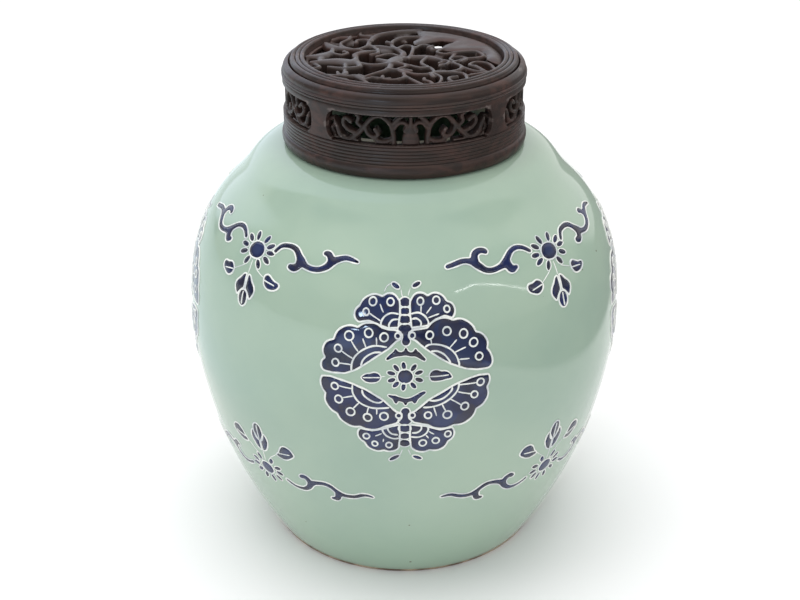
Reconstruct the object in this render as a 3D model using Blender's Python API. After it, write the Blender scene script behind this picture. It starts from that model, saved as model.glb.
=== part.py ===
"""Ginger jar with a loose, pierced hardwood cover.

Units are metres, +Z is up and the origin is the centre of the foot on the
surface the jar stands on.  The front, with one of the four decorated sides, faces -Y.
The jar is one fired clay body.  The cover is a turned drum with four windows, each
filled by a pierced scroll panel, with an openwork top panel lying on the drum's ledge
inside a beaded ring.
"""

from math import atan2, comb, cos, hypot, pi, radians, sin

import bmesh
import bpy
from mathutils import Matrix, Vector
from mathutils.geometry import delaunay_2d_cdt

# --- driving dimensions: jar -------------------------------------------------------
FOOT_RADIUS = 0.0650
FOOT_BEVEL = 0.0012
FOOT_RING_WIDTH = 0.0050
BASE_RECESS = 0.0030
BELLY_RADIUS = 0.0995
BELLY_HEIGHT = 0.1120
COLLAR_RADIUS = 0.0490
COLLAR_HEIGHT = 0.1924
NECK_RADIUS = 0.0465
RIM_HEIGHT = 0.2062
RIM_OVERHANG = 0.0003
JAR_WALL = 0.0048
FLOOR_HEIGHT = 0.0085
FLOOR_FILLET = 0.0060

# --- driving dimensions: cover -----------------------------------------------------
GAP = 0.0003
COVER_TURN = radians(3.0)
COVER_BOTTOM = 0.1928
COVER_TOP = 0.2310
WALL_RADIUS = 0.0537
WALL_INNER_RADIUS = 0.0482
BASE_BAND_RADIUS = 0.0546
BASE_BAND_TOP = 0.1986
SHOULDER_BOTTOM = 0.2252
SHOULDER_TOP = 0.2286
SHOULDER_INNER_RADIUS = 0.0505
LEDGE_INNER_RADIUS = 0.0415
LEDGE_BOTTOM = 0.2226
LEDGE_TOP = 0.2256
BEAD_INNER_RADIUS = 0.0437
PANEL_BORDER = 0.0020
PANEL_TOP = 0.2296

WINDOW_COUNT = 4
WINDOW_BOTTOM = 0.2070
WINDOW_TOP = 0.2201
WINDOW_HALF_ANGLE = radians(40.5)
LOBE_ANGLE = radians(3.4)
LOBE_HEIGHT_SHARE = 0.66
REBATE_HALF_ANGLE = radians(42.5)
REBATE_MARGIN = 0.0017
REBATE_RADIUS = 0.0516
FRET_BORDER = 0.0021
FRET_END = 0.0026

TURN_STEPS = 48
BEND_COUNT = 11
OUTLINE_TOLERANCE = 0.00012
LONGEST_STEP = 0.0025

COLOURS = {
    "glaze": ((0.40, 0.53, 0.43, 1.0), 0.12),
    "drum": ((0.040, 0.028, 0.025, 1.0), 0.42),
    "ring": ((0.048, 0.034, 0.030, 1.0), 0.40),
    "panel": ((0.062, 0.044, 0.038, 1.0), 0.45),
    "fret": ((0.034, 0.024, 0.021, 1.0), 0.50),
}


def clear_scene():
    """Remove every object that is already in the file."""
    for existing in list(bpy.data.objects):
        bpy.data.objects.remove(existing, do_unlink=True)


def material(name):
    """Return a Principled material with the colour and roughness named above."""
    colour, roughness = COLOURS[name]
    made = bpy.data.materials.new(name)
    made.use_nodes = True
    shader = made.node_tree.nodes["Principled BSDF"]
    shader.inputs["Base Color"].default_value = colour
    shader.inputs["Roughness"].default_value = roughness
    shader.inputs["Metallic"].default_value = 0.0
    return made


def add_object(name, mesh, finish=None, parent=None):
    """Link a mesh as a named object, smooth on its round faces and sharp on its arrises."""
    made = bpy.data.objects.new(name, mesh)
    bpy.context.scene.collection.objects.link(made)
    made.parent = parent
    if finish:
        mesh.materials.append(finish)
    mesh.shade_smooth()
    mesh.set_sharp_from_angle(angle=radians(35.0))
    return made


def bezier(controls, count):
    """Points along the Bezier curve of the given control points, ends included."""
    degree = len(controls) - 1
    points = []
    for step in range(count + 1):
        t = step / count
        weights = [comb(degree, i) * (1 - t) ** (degree - i) * t**i for i in range(degree + 1)]
        points.append(tuple(sum(w * p[axis] for w, p in zip(weights, controls)) for axis in (0, 1)))
    return points


def arc(centre, radius, start, end, count):
    """Points on an arc, with angles in degrees measured from +radius towards +height."""
    angles = [radians(start + (end - start) * i / count) for i in range(count + 1)]
    return [(centre[0] + radius * cos(a), centre[1] + radius * sin(a)) for a in angles]


def inward(points, distance):
    """The same curve moved towards the axis side by a constant wall thickness."""
    moved = []
    for i, (r, z) in enumerate(points):
        before = points[max(i - 1, 0)]
        after = points[min(i + 1, len(points) - 1)]
        along = Vector((after[0] - before[0], after[1] - before[1])).normalized()
        moved.append((r - along.y * distance, z + along.x * distance))
    return moved


def turned(name, profile, steps=TURN_STEPS):
    """Spin a profile about Z into one closed, outward-facing mesh.

    A profile that starts and ends on the axis gives a solid, and a closed loop gives a ring.
    """
    shape = bmesh.new()
    verts = [shape.verts.new((r, 0.0, z)) for r, z in profile]
    edges = [shape.edges.new(pair) for pair in zip(verts, verts[1:])]
    if profile[0][0] > 0.0:
        edges.append(shape.edges.new((verts[-1], verts[0])))
    bmesh.ops.spin(
        shape, geom=verts + edges, axis=(0, 0, 1), cent=(0, 0, 0), steps=steps, angle=2 * pi
    )
    bmesh.ops.remove_doubles(shape, verts=shape.verts, dist=1e-6)
    bmesh.ops.recalc_face_normals(shape, faces=shape.faces)
    mesh = bpy.data.meshes.new(name)
    shape.to_mesh(mesh)
    shape.free()
    return mesh


# --- jar ---------------------------------------------------------------------------
def belly_curve():
    """The outside of the jar from the foot's bevel to the collar under the cover."""
    lower = bezier(
        [
            (FOOT_RADIUS, FOOT_BEVEL),
            (0.0970, 0.0535),
            (0.0925, 0.0795),
            (BELLY_RADIUS, 0.0830),
            (BELLY_RADIUS, BELLY_HEIGHT),
        ],
        8,
    )
    upper = bezier(
        [
            (BELLY_RADIUS, BELLY_HEIGHT),
            (BELLY_RADIUS, 0.1885),
            (0.0570, 0.1634),
            (0.0835, COLLAR_HEIGHT),
            (COLLAR_RADIUS, COLLAR_HEIGHT),
        ],
        11,
    )
    return lower + upper[1:]


def jar_profile():
    """The whole section of the jar, from the middle of its base round to the middle of its floor."""
    foot_inner = FOOT_RADIUS - FOOT_BEVEL - FOOT_RING_WIDTH
    fillet = COLLAR_RADIUS - NECK_RADIUS
    lip = 0.5 * JAR_WALL
    lip_centre = (NECK_RADIUS - lip + RIM_OVERHANG, RIM_HEIGHT - lip)
    throat_radius = NECK_RADIUS - JAR_WALL
    outside = belly_curve()
    neck = arc((COLLAR_RADIUS, COLLAR_HEIGHT + fillet), fillet, 270, 180, 3)
    rim = arc(lip_centre, lip, 0, 180, 4)
    inside = inward(outside, JAR_WALL)[::-2]
    inside = [(r, z) for r, z in inside if z > FLOOR_HEIGHT + FLOOR_FILLET and r > throat_radius]
    floor_edge = inside[-1][0]
    floor = [
        (floor_edge - FLOOR_FILLET, FLOOR_HEIGHT + 0.2 * FLOOR_FILLET),
        (floor_edge - 2.3 * FLOOR_FILLET, FLOOR_HEIGHT),
        (0.0, FLOOR_HEIGHT),
    ]
    base = [(0.0, BASE_RECESS), (foot_inner - 0.002, BASE_RECESS), (foot_inner, 0.0)]
    foot = [(FOOT_RADIUS - FOOT_BEVEL, 0.0)]
    throat = [(throat_radius, RIM_HEIGHT - 0.006), (throat_radius, COLLAR_HEIGHT)]
    return base + foot + outside + neck[1:] + rim + throat + inside + floor


def make_jar():
    """The fired vessel: foot ring, belly, neck and rim in one clay body."""
    add_object("jar_body", turned("jar_body", jar_profile()), material("glaze"))


# --- turned pieces of the cover ----------------------------------------------------
def drum_profile():
    """Section of the cover's wall, outer side top to bottom, then up the inside."""
    shoulder = bezier(
        [
            (SHOULDER_INNER_RADIUS, SHOULDER_TOP),
            (WALL_RADIUS - 0.0012, SHOULDER_TOP - 0.0002),
            (WALL_RADIUS - 0.0002, SHOULDER_BOTTOM + 0.0012),
            (WALL_RADIUS - 0.0003, SHOULDER_BOTTOM),
        ],
        4,
    )
    beads = []
    for bead in range(2):
        low = SHOULDER_BOTTOM - 0.0004 - 0.0010 * bead
        beads += [(WALL_RADIUS - 0.0004, low), (WALL_RADIUS + 0.0002, low - 0.0005)]
    rings = [(WALL_RADIUS, WINDOW_BOTTOM - 0.0008)]
    for ring in range(2):
        low = WINDOW_BOTTOM - 0.0020 - 0.0030 * ring
        rings += [(WALL_RADIUS - 0.0004, low), (WALL_RADIUS, low - 0.0012)]
    band = bezier(
        [
            (WALL_RADIUS, BASE_BAND_TOP),
            (BASE_BAND_RADIUS + 0.0003, BASE_BAND_TOP - 0.0012),
            (BASE_BAND_RADIUS + 0.0003, COVER_BOTTOM + 0.0018),
            (WALL_RADIUS - 0.0004, COVER_BOTTOM),
        ],
        5,
    )
    outside = shoulder + beads + [(WALL_RADIUS, WINDOW_TOP + 0.0022)] + rings + band
    inside = [
        (WALL_INNER_RADIUS, COVER_BOTTOM),
        (WALL_INNER_RADIUS, LEDGE_BOTTOM),
        (LEDGE_INNER_RADIUS, LEDGE_BOTTOM),
        (LEDGE_INNER_RADIUS, LEDGE_TOP),
        (SHOULDER_INNER_RADIUS, LEDGE_TOP),
    ]
    return outside + inside


def window_height(angle):
    """Half the height of a window opening at an angle from its middle.

    The opening is straight along most of its length; each end is a bracket, with a small
    cusp at its corners and a round lobe reaching into the post.
    """
    full = 0.5 * (WINDOW_TOP - WINDOW_BOTTOM)
    cusp = WINDOW_HALF_ANGLE - LOBE_ANGLE
    if abs(angle) <= cusp:
        return full
    along = (abs(angle) - cusp) / LOBE_ANGLE
    return LOBE_HEIGHT_SHARE * full * max(1.0 - along**2.2, 0.0) ** 0.5


def window_cutter(name, height_at, inner_radius, outer_radius, angles):
    """A cutter with one curved block for each window, centred on the windows' middle height.

    height_at(angle) is half the block's height, and angles are its columns, from end to end.
    """
    shape = bmesh.new()
    middle = 0.5 * (WINDOW_TOP + WINDOW_BOTTOM)
    for window in range(WINDOW_COUNT):
        facing = window * 2 * pi / WINDOW_COUNT
        columns = []
        for angle in angles:
            half = max(height_at(angle), 0.0002)
            corners = (
                (inner_radius, -half), (outer_radius, -half),
                (outer_radius, half), (inner_radius, half),
            )
            at = facing + angle
            columns.append([shape.verts.new((r * sin(at), -r * cos(at), middle + z)) for r, z in corners])
        for left, right in zip(columns, columns[1:]):
            for i in range(4):
                j = (i + 1) % 4
                shape.faces.new((left[i], left[j], right[j], right[i]))
        shape.faces.new(columns[0])
        shape.faces.new(columns[-1][::-1])
    bmesh.ops.recalc_face_normals(shape, faces=shape.faces)
    mesh = bpy.data.meshes.new(name)
    shape.to_mesh(mesh)
    shape.free()
    cutter = bpy.data.objects.new(name, mesh)
    bpy.context.scene.collection.objects.link(cutter)
    cutter.hide_render = True
    cutter.display_type = "WIRE"
    return cutter


def even_angles(half_angle, count):
    """Angles spread evenly from one end of a window to the other."""
    return [half_angle * (2.0 * i / count - 1.0) for i in range(count + 1)]


def make_drum(parent):
    """The cover's wall, with four windows cut through it and a rebate behind each."""
    drum = add_object("cover_drum", turned("cover_drum", drum_profile()), material("drum"), parent)
    straight = even_angles(WINDOW_HALF_ANGLE - LOBE_ANGLE, BEND_COUNT)
    lobes = [WINDOW_HALF_ANGLE - LOBE_ANGLE * share for share in (0.97, 0.6, 0.3, 0.1, 0.0)]
    opening_angles = [-a for a in reversed(lobes)] + straight + lobes
    half = 0.5 * (WINDOW_TOP - WINDOW_BOTTOM)
    opening = window_cutter(
        "window_opening_cutter",
        window_height,
        WALL_INNER_RADIUS + 0.0010,
        WALL_RADIUS + 0.0040,
        opening_angles,
    )
    rebate = window_cutter(
        "window_rebate_cutter",
        lambda angle: half + REBATE_MARGIN,
        WALL_INNER_RADIUS - 0.0040,
        REBATE_RADIUS,
        even_angles(REBATE_HALF_ANGLE, BEND_COUNT),
    )
    for cutter in (opening, rebate):
        cutter.parent = parent
        cut = drum.modifiers.new(cutter.name, "BOOLEAN")
        cut.operation = "DIFFERENCE"
        cut.solver = "EXACT"
        cut.object = cutter


def make_bead_ring(parent):
    """The beaded ring let into the top of the cover round the panel."""
    outer = SHOULDER_INNER_RADIUS - GAP
    seat = LEDGE_TOP + GAP
    bead_width = (outer - 0.0008 - BEAD_INNER_RADIUS) / 3
    outside = [(BEAD_INNER_RADIUS, COVER_TOP - 0.0006)]
    for bead in range(3):
        start = BEAD_INNER_RADIUS + bead_width * bead
        crown = COVER_TOP - 0.0002 * bead
        outside += [
            (start + 0.3 * bead_width, crown),
            (start + 0.7 * bead_width, crown),
            (start + bead_width, crown - 0.0008),
        ]
    outside += [(outer, COVER_TOP - 0.0026), (outer, seat), (BEAD_INNER_RADIUS, seat)]
    ring = turned("cover_bead_ring", outside)
    add_object("cover_bead_ring", ring, material("ring"), parent)


# --- carved openwork ---------------------------------------------------------------
def smooth_path(points, per_span):
    """A Catmull-Rom curve through hand-set points (x, y, half width)."""
    ends = [Vector(points[0])] + [Vector(p) for p in points] + [Vector(points[-1])]
    path = []
    for before, start, end, after in zip(ends, ends[1:], ends[2:], ends[3:]):
        slope = end - before
        bend = 2 * before - 5 * start + 4 * end - after
        twist = 3 * start - before - 3 * end + after
        for step in range(per_span):
            t = step / per_span
            path.append(tuple(start + 0.5 * (slope * t + bend * t**2 + twist * t**3)))
    path.append(tuple(points[-1]))
    return path


def disc(x, y, radius, sides=8):
    """A round spot, such as the ball at the end of a tendril."""
    turns = [2 * pi * i / sides for i in range(sides)]
    return [(x + radius * cos(a), y + radius * sin(a)) for a in turns]


def tendril(points, per_span=2):
    """Cover a tapered, curving stroke with short quadrilaterals and round ends."""
    path = smooth_path(points, per_span)
    sides = []
    for i, (x, y, half) in enumerate(path):
        before = path[max(i - 1, 0)]
        after = path[min(i + 1, len(path) - 1)]
        run = atan2(after[1] - before[1], after[0] - before[0])
        dx, dy = -sin(run) * half, cos(run) * half
        sides.append(((x - dx, y - dy), (x + dx, y + dy)))
    pieces = [[a[0], b[0], b[1], a[1]] for a, b in zip(sides, sides[1:])]
    first, last = path[0], path[-1]
    return pieces + [disc(*first), disc(*last)]


def ring_band(inner, outer, sides):
    """A flat ring, as quadrilaterals."""
    corners = [(cos(2 * pi * i / sides), sin(2 * pi * i / sides)) for i in range(sides + 1)]
    return [
        [(a[0] * inner, a[1] * inner), (a[0] * outer, a[1] * outer), (b[0] * outer, b[1] * outer),
         (b[0] * inner, b[1] * inner)]
        for a, b in zip(corners, corners[1:])
    ]


def boundary_loops(points, cells):
    """Closed runs of points round a sheet of triangles and round each of its holes."""
    sides = {(cell[i], cell[(i + 1) % 3]) for cell in cells for i in range(3)}
    following = {a: b for a, b in sides if (b, a) not in sides}
    loops = []
    while following:
        start, here = following.popitem()
        loop = [points[start]]
        while here != start:
            loop.append(points[here])
            here = following.pop(here)
        loops.append(loop)
    return loops


def without_small_steps(loop):
    """Drop the points of a closed loop that stand nearly in line with their neighbours."""
    kept = []
    for index, here in enumerate(loop):
        before = kept[-1] if kept else loop[-1]
        after = loop[(index + 1) % len(loop)]
        run = after - before
        away = abs(run.cross(here - before)) / max(run.length, 1e-9)
        if away > OUTLINE_TOLERANCE or (here - before).length > LONGEST_STEP:
            kept.append(here)
    return kept


def is_inside(point, outline):
    """Whether a line from the point towards +x crosses the outline's sides an odd number of times."""
    crossings = 0
    for a, b in zip(outline, outline[1:] + outline[:1]):
        if (a[1] > point[1]) != (b[1] > point[1]):
            reach = a[0] + (b[0] - a[0]) * (point[1] - a[1]) / (b[1] - a[1])
            crossings += reach > point[0]
    return crossings % 2 == 1


def centre_of(cell, points):
    """The middle of a triangle."""
    return sum((points[i] for i in cell), Vector((0, 0))) / 3


def joined_sheet(outlines):
    """Union overlapping flat outlines into one sheet; return its points and triangles."""
    points, edges = [], []
    for outline in outlines:
        first, count = len(points), len(outline)
        points += [Vector(p) for p in outline]
        edges += [(first + i, first + (i + 1) % count) for i in range(count)]
    found, _, cells, _, _, _ = delaunay_2d_cdt(points, edges, [], 0, 1e-6)
    covered = [c for c in cells if any(is_inside(centre_of(c, found), outline) for outline in outlines)]
    loops = [without_small_steps(loop) for loop in boundary_loops(found, covered)]
    points, edges = [], []
    for loop in loops:
        first, count = len(points), len(loop)
        points += loop
        edges += [(first + i, first + (i + 1) % count) for i in range(count)]
    found, _, cells, _, _, _ = delaunay_2d_cdt(points, edges, [], 0, 1e-6)
    return found, [c for c in cells if sum(is_inside(centre_of(c, found), loop) for loop in loops) % 2]


def sheet_solid(name, points, cells, lay, scores=()):
    """Give a flat sheet its thickness: lay(x, y, side) places a point of side 0 (back) or 1 (front).

    The sheet is first scored across at each x in scores, where it is to bend.
    """
    flat = bmesh.new()
    verts = {}
    for cell in cells:
        for corner in cell:
            if corner not in verts:
                verts[corner] = flat.verts.new((points[corner].x, points[corner].y, 0.0))
        flat.faces.new([verts[corner] for corner in cell])
    for x in scores:
        everything = flat.verts[:] + flat.edges[:] + flat.faces[:]
        bmesh.ops.bisect_plane(flat, geom=everything, dist=1e-6, plane_co=(x, 0, 0), plane_no=(1, 0, 0))
    bmesh.ops.triangulate(flat, faces=flat.faces)
    solid = bmesh.new()
    layers = []
    for side in (0, 1):
        layers.append({v: solid.verts.new(lay(v.co.x, v.co.y, side)) for v in flat.verts})
    for face in flat.faces:
        corners = list(face.verts)
        solid.faces.new([layers[1][v] for v in corners])
        solid.faces.new([layers[0][v] for v in reversed(corners)])
    for edge in flat.edges:
        if len(edge.link_faces) == 1:
            loop = edge.link_loops[0]
            a, b = loop.vert, loop.link_loop_next.vert
            solid.faces.new((layers[0][a], layers[0][b], layers[1][b], layers[1][a]))
    flat.free()
    bmesh.ops.recalc_face_normals(solid, faces=solid.faces)
    mesh = bpy.data.meshes.new(name)
    solid.to_mesh(mesh)
    solid.free()
    return mesh


# Tendrils of the top panel, each a run of (x, y, half width) in millimetres about its centre.
TOP_TENDRILS = [
    # long double band that sweeps from the back down to the left and curls round a ball
    [(9, 43, 2.2), (-1, 40, 1.8), (-10, 35, 1.6), (-14, 26, 1.4), (-16, 17, 1.1), (-21, 12.5, 0.9),
     (-26, 16, 0.9), (-27.5, 22, 0.9), (-24, 28, 0.9), (-23, 32, 1.3)],
    [(10, 32, 1.2), (2, 31, 1.1), (-3.5, 26, 1.1), (-4.5, 19, 1.0), (-3, 14, 1.0), (0, 7, 1.6),
     (-2, -2, 1.6)],
    [(-16, 17, 1.1), (-10, 18, 1.6), (-3, 14, 1.0)],
    [(-23, 32, 1.1), (-29, 34, 1.1), (-33, 31, 1.1)],
    [(-19, 40, 0.9), (-18, 35, 0.9), (-13.5, 33, 1.2)],
    [(-21, 12.5, 0.9), (-15, 10, 1.2), (-11, 11, 1.0), (-12.5, 16, 0.9), (-14, 19, 0.9)],
    # upper right tendrils under the big leaf
    [(-2, 13, 0.8), (1, 17, 0.8), (4.5, 15.5, 0.8), (4, 8, 0.9), (2, -2, 0.9)],
    [(4.5, 12, 0.8), (9, 18, 0.8), (13, 15.5, 0.8), (13, 11, 1.1), (18, 12, 0.9)],
    [(19, 12, 0.8), (15, 7, 0.8), (18, 3.5, 0.8), (24, 6, 0.9), (32, 6.5, 0.9), (35, 0, 0.9), (32, -3, 1.4)],
    [(23, 5, 0.8), (20, -3, 0.8), (21.5, -8, 0.9), (15, -12, 1.1)],
    [(21.5, -8, 0.8), (27, -4, 1.0), (31, -3, 1.2)],
    # flower in the middle, its leaves and the stems below it
    [(-4, -4, 3.6), (-5, -7, 3.2)],
    [(-11, -3, 1.6), (-7, -6, 2.4)],
    [(-22, -4, 0.9), (-15, -9, 1.2), (-7, -8, 1.6)],
    [(-12, 1, 0.8), (-6, 4.5, 0.9), (-2, 1, 0.9)],
    [(-2, -2, 1.4), (6, 1, 2.2), (12, -1, 1.8), (17, -6, 0.9), (15, -9, 1.2)],
    [(10, -1, 0.9), (7, -9, 0.9), (11, -18, 0.9), (11, -24, 0.9), (4, -25, 0.9), (-1, -21, 0.9)],
    [(-5, -7, 1.6), (1, -12, 0.9), (6, -16, 1.0), (10, -16, 0.9)],
    [(-6, -9, 1.4), (-8, -17, 1.6), (-13, -22, 1.0)],
    [(-8, -17, 1.2), (-2, -20, 0.9), (-1, -27, 0.9), (3, -35, 0.9), (6, -40, 1.0)],
    # right and lower right spirals
    [(39, -20, 0.9), (36, -12, 0.8), (31, -9, 0.8), (27.5, -13, 0.8), (30, -15.5, 1.2)],
    [(11, -23, 1.0), (17, -22.5, 1.0), (24, -25, 0.9), (26, -36, 0.9)],
    [(20, -39, 0.8), (17, -33, 0.8), (19.5, -30.5, 1.0)],
    [(21, -10, 0.9), (24, -15, 1.0), (22, -20, 1.2), (17, -22.5, 1.0)],
    [(24, -15, 0.8), (29, -21, 0.9), (36, -24, 1.0)],
    [(11, -24, 0.8), (14, -29, 0.8), (13, -36, 0.8), (10, -41, 0.9)],
    # lower left
    [(-22, -27, 0.9), (-19, -32, 0.9), (-16, -40, 1.0)],
    [(-13, -22, 0.9), (-18, -27, 0.9), (-19, -32, 0.9)],
    [(-1, -27, 0.8), (-4, -32, 0.9), (-10, -31, 0.8), (-10.5, -27, 1.0)],
    [(-22, -27, 1.0), (-29, -25, 1.0), (-35, -24, 1.0)],
    # leaf cluster on the left
    [(-34, 22, 1.6), (-31, 17, 2.6), (-25, 13, 1.4), (-20, 12, 1.0)],
    [(-43, 3, 1.4), (-36, 5, 3.6), (-32, 10, 1.4), (-31, 16, 1.4)],
    [(-40, -6, 1.6), (-30, -4, 3.6), (-23, -6, 3.4), (-21, -1, 1.2), (-20, 5, 0.9), (-12, 9, 1.0)],
    [(-40, -6, 1.2), (-37, -12, 1.0), (-41, -14, 1.0)],
    [(-33, -13, 1.0), (-27, -15, 1.4), (-20, -13, 1.2), (-21, -7, 1.6)],
    [(-26, -6, 1.4), (-26, -14, 1.0), (-27, -24, 1.0)],
    [(-36, 5, 2.0), (-37, -4, 1.4)],
]

# The big smooth leaf that fills the upper right of the top panel.
BIG_LEAF = [
    (7, 44), (20, 42), (33, 31), (42, 16), (45, 0), (43.5, -12), (39, -11), (35.5, -5), (36.5, 2),
    (34, 7.5), (28, 7.5), (24, 6.5), (18, 9.5), (17, 13), (19.5, 18.5), (24, 22.5), (18, 25),
    (13, 22), (9, 19), (5.5, 19), (5, 24), (9, 30.5),
]


def top_outlines():
    """Every flat outline of the top panel's openwork, in metres."""
    radius = BEAD_INNER_RADIUS - GAP
    outlines = [[(0.001 * x, 0.001 * y) for x, y in BIG_LEAF]]
    for points in TOP_TENDRILS:
        outlines += tendril([tuple(0.001 * v for v in point) for point in points])
    border_middle = radius - 0.5 * PANEL_BORDER
    carved = [drawn_inside(outline, border_middle) for outline in outlines]
    return carved + ring_band(radius - PANEL_BORDER, radius, 48)


def drawn_inside(outline, radius):
    """The same outline with any point beyond a radius drawn back onto it."""
    shares = [min(1.0, radius / max(hypot(x, y), 1e-9)) for x, y in outline]
    return [(x * share, y * share) for (x, y), share in zip(outline, shares)]


def make_top_panel(parent):
    """The openwork disc that lies on the drum's ledge, inside the beaded ring."""
    points, cells = joined_sheet(top_outlines())

    def lay(x, y, side):
        """Place a point of the panel's underside or face."""
        return (x, y, PANEL_TOP if side else LEDGE_TOP + GAP)

    mesh = sheet_solid("cover_top_panel", points, cells, lay)
    add_object("cover_top_panel", mesh, material("panel"), parent)


# Half of a window's fret, right of its middle: (along, up, half width) in millimetres from the
# middle of the window's sill.  The left half is its mirror image.
FRET_TENDRILS = [
    [(5.9, -0.2, 0.9), (6.4, 3.1, 0.9), (7.0, 7.9, 0.9), (9.2, 11.4, 0.9), (11.5, 12.6, 0.9),
     (14.2, 11.2, 0.9), (16.6, 7.9, 0.9), (19.7, 3.9, 0.9), (22.1, -0.2, 0.9)],
    [(22.1, -0.2, 0.9), (26.3, 1.4, 0.8), (28.7, 5.0, 0.8), (31.2, 8.3, 0.8), (34.2, 8.4, 0.7),
     (36.6, 7.0, 0.9)],
    [(18.2, 6.4, 0.7), (22.7, 7.9, 0.7), (23.3, 9.4, 0.7), (24.8, 10.4, 0.8), (25.2, 13.3, 0.9)],
    [(24.8, 10.4, 0.7), (27.0, 9.0, 0.7), (29.4, 6.0, 0.7)],
    [(18.4, 5.6, 0.7), (14.8, 4.2, 0.7), (13.2, 5.4, 0.9)],
    [(13.2, 5.4, 0.7), (12.7, 3.4, 0.7), (12.7, -0.2, 0.8)],
    [(12.7, 3.4, 0.7), (9.6, 4.6, 0.7), (6.6, 4.6, 0.7)],
    [(0.0, 9.0, 0.7), (2.6, 10.9, 0.7), (4.6, 9.4, 0.7), (6.6, 6.4, 0.8)],
]
FRET_BUD = [(0.0, 0.6, 1.6), (0.0, 2.6, 3.0), (0.0, 5.0, 2.4), (0.0, 8.6, 0.8), (0.0, 13.4, 0.6)]


def fret_outlines(half_angle, height):
    """Every flat outline of one window's fret, unrolled: along the wall, and up from its sill."""
    half_length = half_angle * REBATE_RADIUS
    low = -REBATE_MARGIN + GAP
    high = height + REBATE_MARGIN - GAP
    bar = FRET_BORDER
    end = FRET_END
    outlines = [
        [(-half_length, low), (half_length, low), (half_length, low + bar), (-half_length, low + bar)],
        [(-half_length, high - bar), (half_length, high - bar), (half_length, high), (-half_length, high)],
        [(-half_length, low), (-half_length + end, low), (-half_length + end, high), (-half_length, high)],
        [(half_length - end, low), (half_length, low), (half_length, high), (half_length - end, high)],
    ]
    runs = [[tuple(0.001 * v for v in point) for point in run] for run in FRET_TENDRILS]
    for run in runs:
        outlines += tendril(run)
        outlines += tendril([(-x, y, half) for x, y, half in run])
    outlines += tendril([tuple(0.001 * v for v in point) for point in FRET_BUD])
    return outlines


def make_frets(parent):
    """Four equal pierced panels, one behind each window."""
    half_angle = REBATE_HALF_ANGLE - GAP / REBATE_RADIUS
    height = WINDOW_TOP - WINDOW_BOTTOM
    outlines = fret_outlines(half_angle, height)
    scores = [REBATE_RADIUS * angle for angle in even_angles(half_angle, BEND_COUNT)[1:-1]]
    points, cells = joined_sheet(outlines)
    back = WALL_INNER_RADIUS + GAP
    front = REBATE_RADIUS - GAP
    finish = material("fret")

    def lay(x, y, side):
        """Bend the sheet round the cover's wall, facing -Y."""
        radius = front if side else back
        angle = x / REBATE_RADIUS
        return (radius * sin(angle), -radius * cos(angle), WINDOW_BOTTOM + y)

    mesh = sheet_solid("window_fret", points, cells, lay, scores)
    for index, side in enumerate(("front", "right", "back", "left")):
        fret = add_object("window_fret_" + side, mesh.copy(), finish, parent)
        fret.rotation_euler.z = index * 2 * pi / WINDOW_COUNT


def make_cover():
    """The loose cover, turned a little on the jar as a hand leaves it."""
    turn = bpy.data.objects.new("cover_turn", None)
    bpy.context.scene.collection.objects.link(turn)
    turn.matrix_world = Matrix.Rotation(COVER_TURN, 4, "Z")
    make_drum(turn)
    make_bead_ring(turn)
    make_top_panel(turn)
    make_frets(turn)


clear_scene()
make_jar()
make_cover()
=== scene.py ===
"""The looks of a celadon ginger jar with a pierced hardwood cover.

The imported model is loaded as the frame, and each of its pieces is made again in full
detail: the glazed vessel with its slip-trailed and cobalt-filled decoration, and the
turned, pierced and carved cover.  Lengths are metres, except in the drawings, which are
in millimetres from their own middles, as a decorator would mark them out.
"""

from __future__ import annotations

import logging
from dataclasses import dataclass, field
from enum import Enum
from math import ceil, comb, cos, hypot, pi, radians, sin
from typing import Callable, Sequence

import bpy
import numpy as np
from mathutils import Matrix, Vector
from mathutils.geometry import delaunay_2d_cdt


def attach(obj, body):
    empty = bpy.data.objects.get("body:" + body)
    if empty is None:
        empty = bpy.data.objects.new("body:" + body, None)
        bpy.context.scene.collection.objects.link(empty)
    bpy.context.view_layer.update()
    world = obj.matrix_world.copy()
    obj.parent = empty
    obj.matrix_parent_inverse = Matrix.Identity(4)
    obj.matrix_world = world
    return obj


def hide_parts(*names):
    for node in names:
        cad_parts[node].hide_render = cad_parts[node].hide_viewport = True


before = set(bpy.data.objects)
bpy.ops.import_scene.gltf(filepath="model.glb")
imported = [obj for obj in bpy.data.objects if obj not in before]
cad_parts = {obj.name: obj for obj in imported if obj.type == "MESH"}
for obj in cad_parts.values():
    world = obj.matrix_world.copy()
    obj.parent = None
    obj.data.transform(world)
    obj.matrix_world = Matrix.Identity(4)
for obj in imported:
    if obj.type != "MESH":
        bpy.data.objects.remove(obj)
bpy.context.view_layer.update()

Piece = bpy.types.Object
Point = tuple[float, float]
Colour = tuple[float, float, float]
Triple = tuple[float, float, float]
Stroke = Sequence[Triple]

MILLIMETRE = 0.001
log = logging.getLogger("ginger_jar")


class Body(Enum):
    """The bodies that pieces ride on."""

    JAR = "jar"
    COVER = "cover"


class Slot(Enum):
    """The material slots that pieces take their finish from."""

    GLAZE = "celadon_glaze"
    SLIP = "white_slip"
    COBALT = "cobalt_glaze"
    CLAY = "unglazed_foot"
    TURNED = "turned_hardwood"
    CARVED = "carved_hardwood"
    FRET = "fret_hardwood"


# --- workbench: selection, turning, curves -----------------------------------------
def take(piece: Piece) -> None:
    """Make one object the only selected one and the active one.

    Args:
        piece: The object that the next operators work on.
    """
    bpy.ops.object.select_all(action="DESELECT")
    piece.select_set(True)
    bpy.context.view_layer.objects.active = piece


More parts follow.
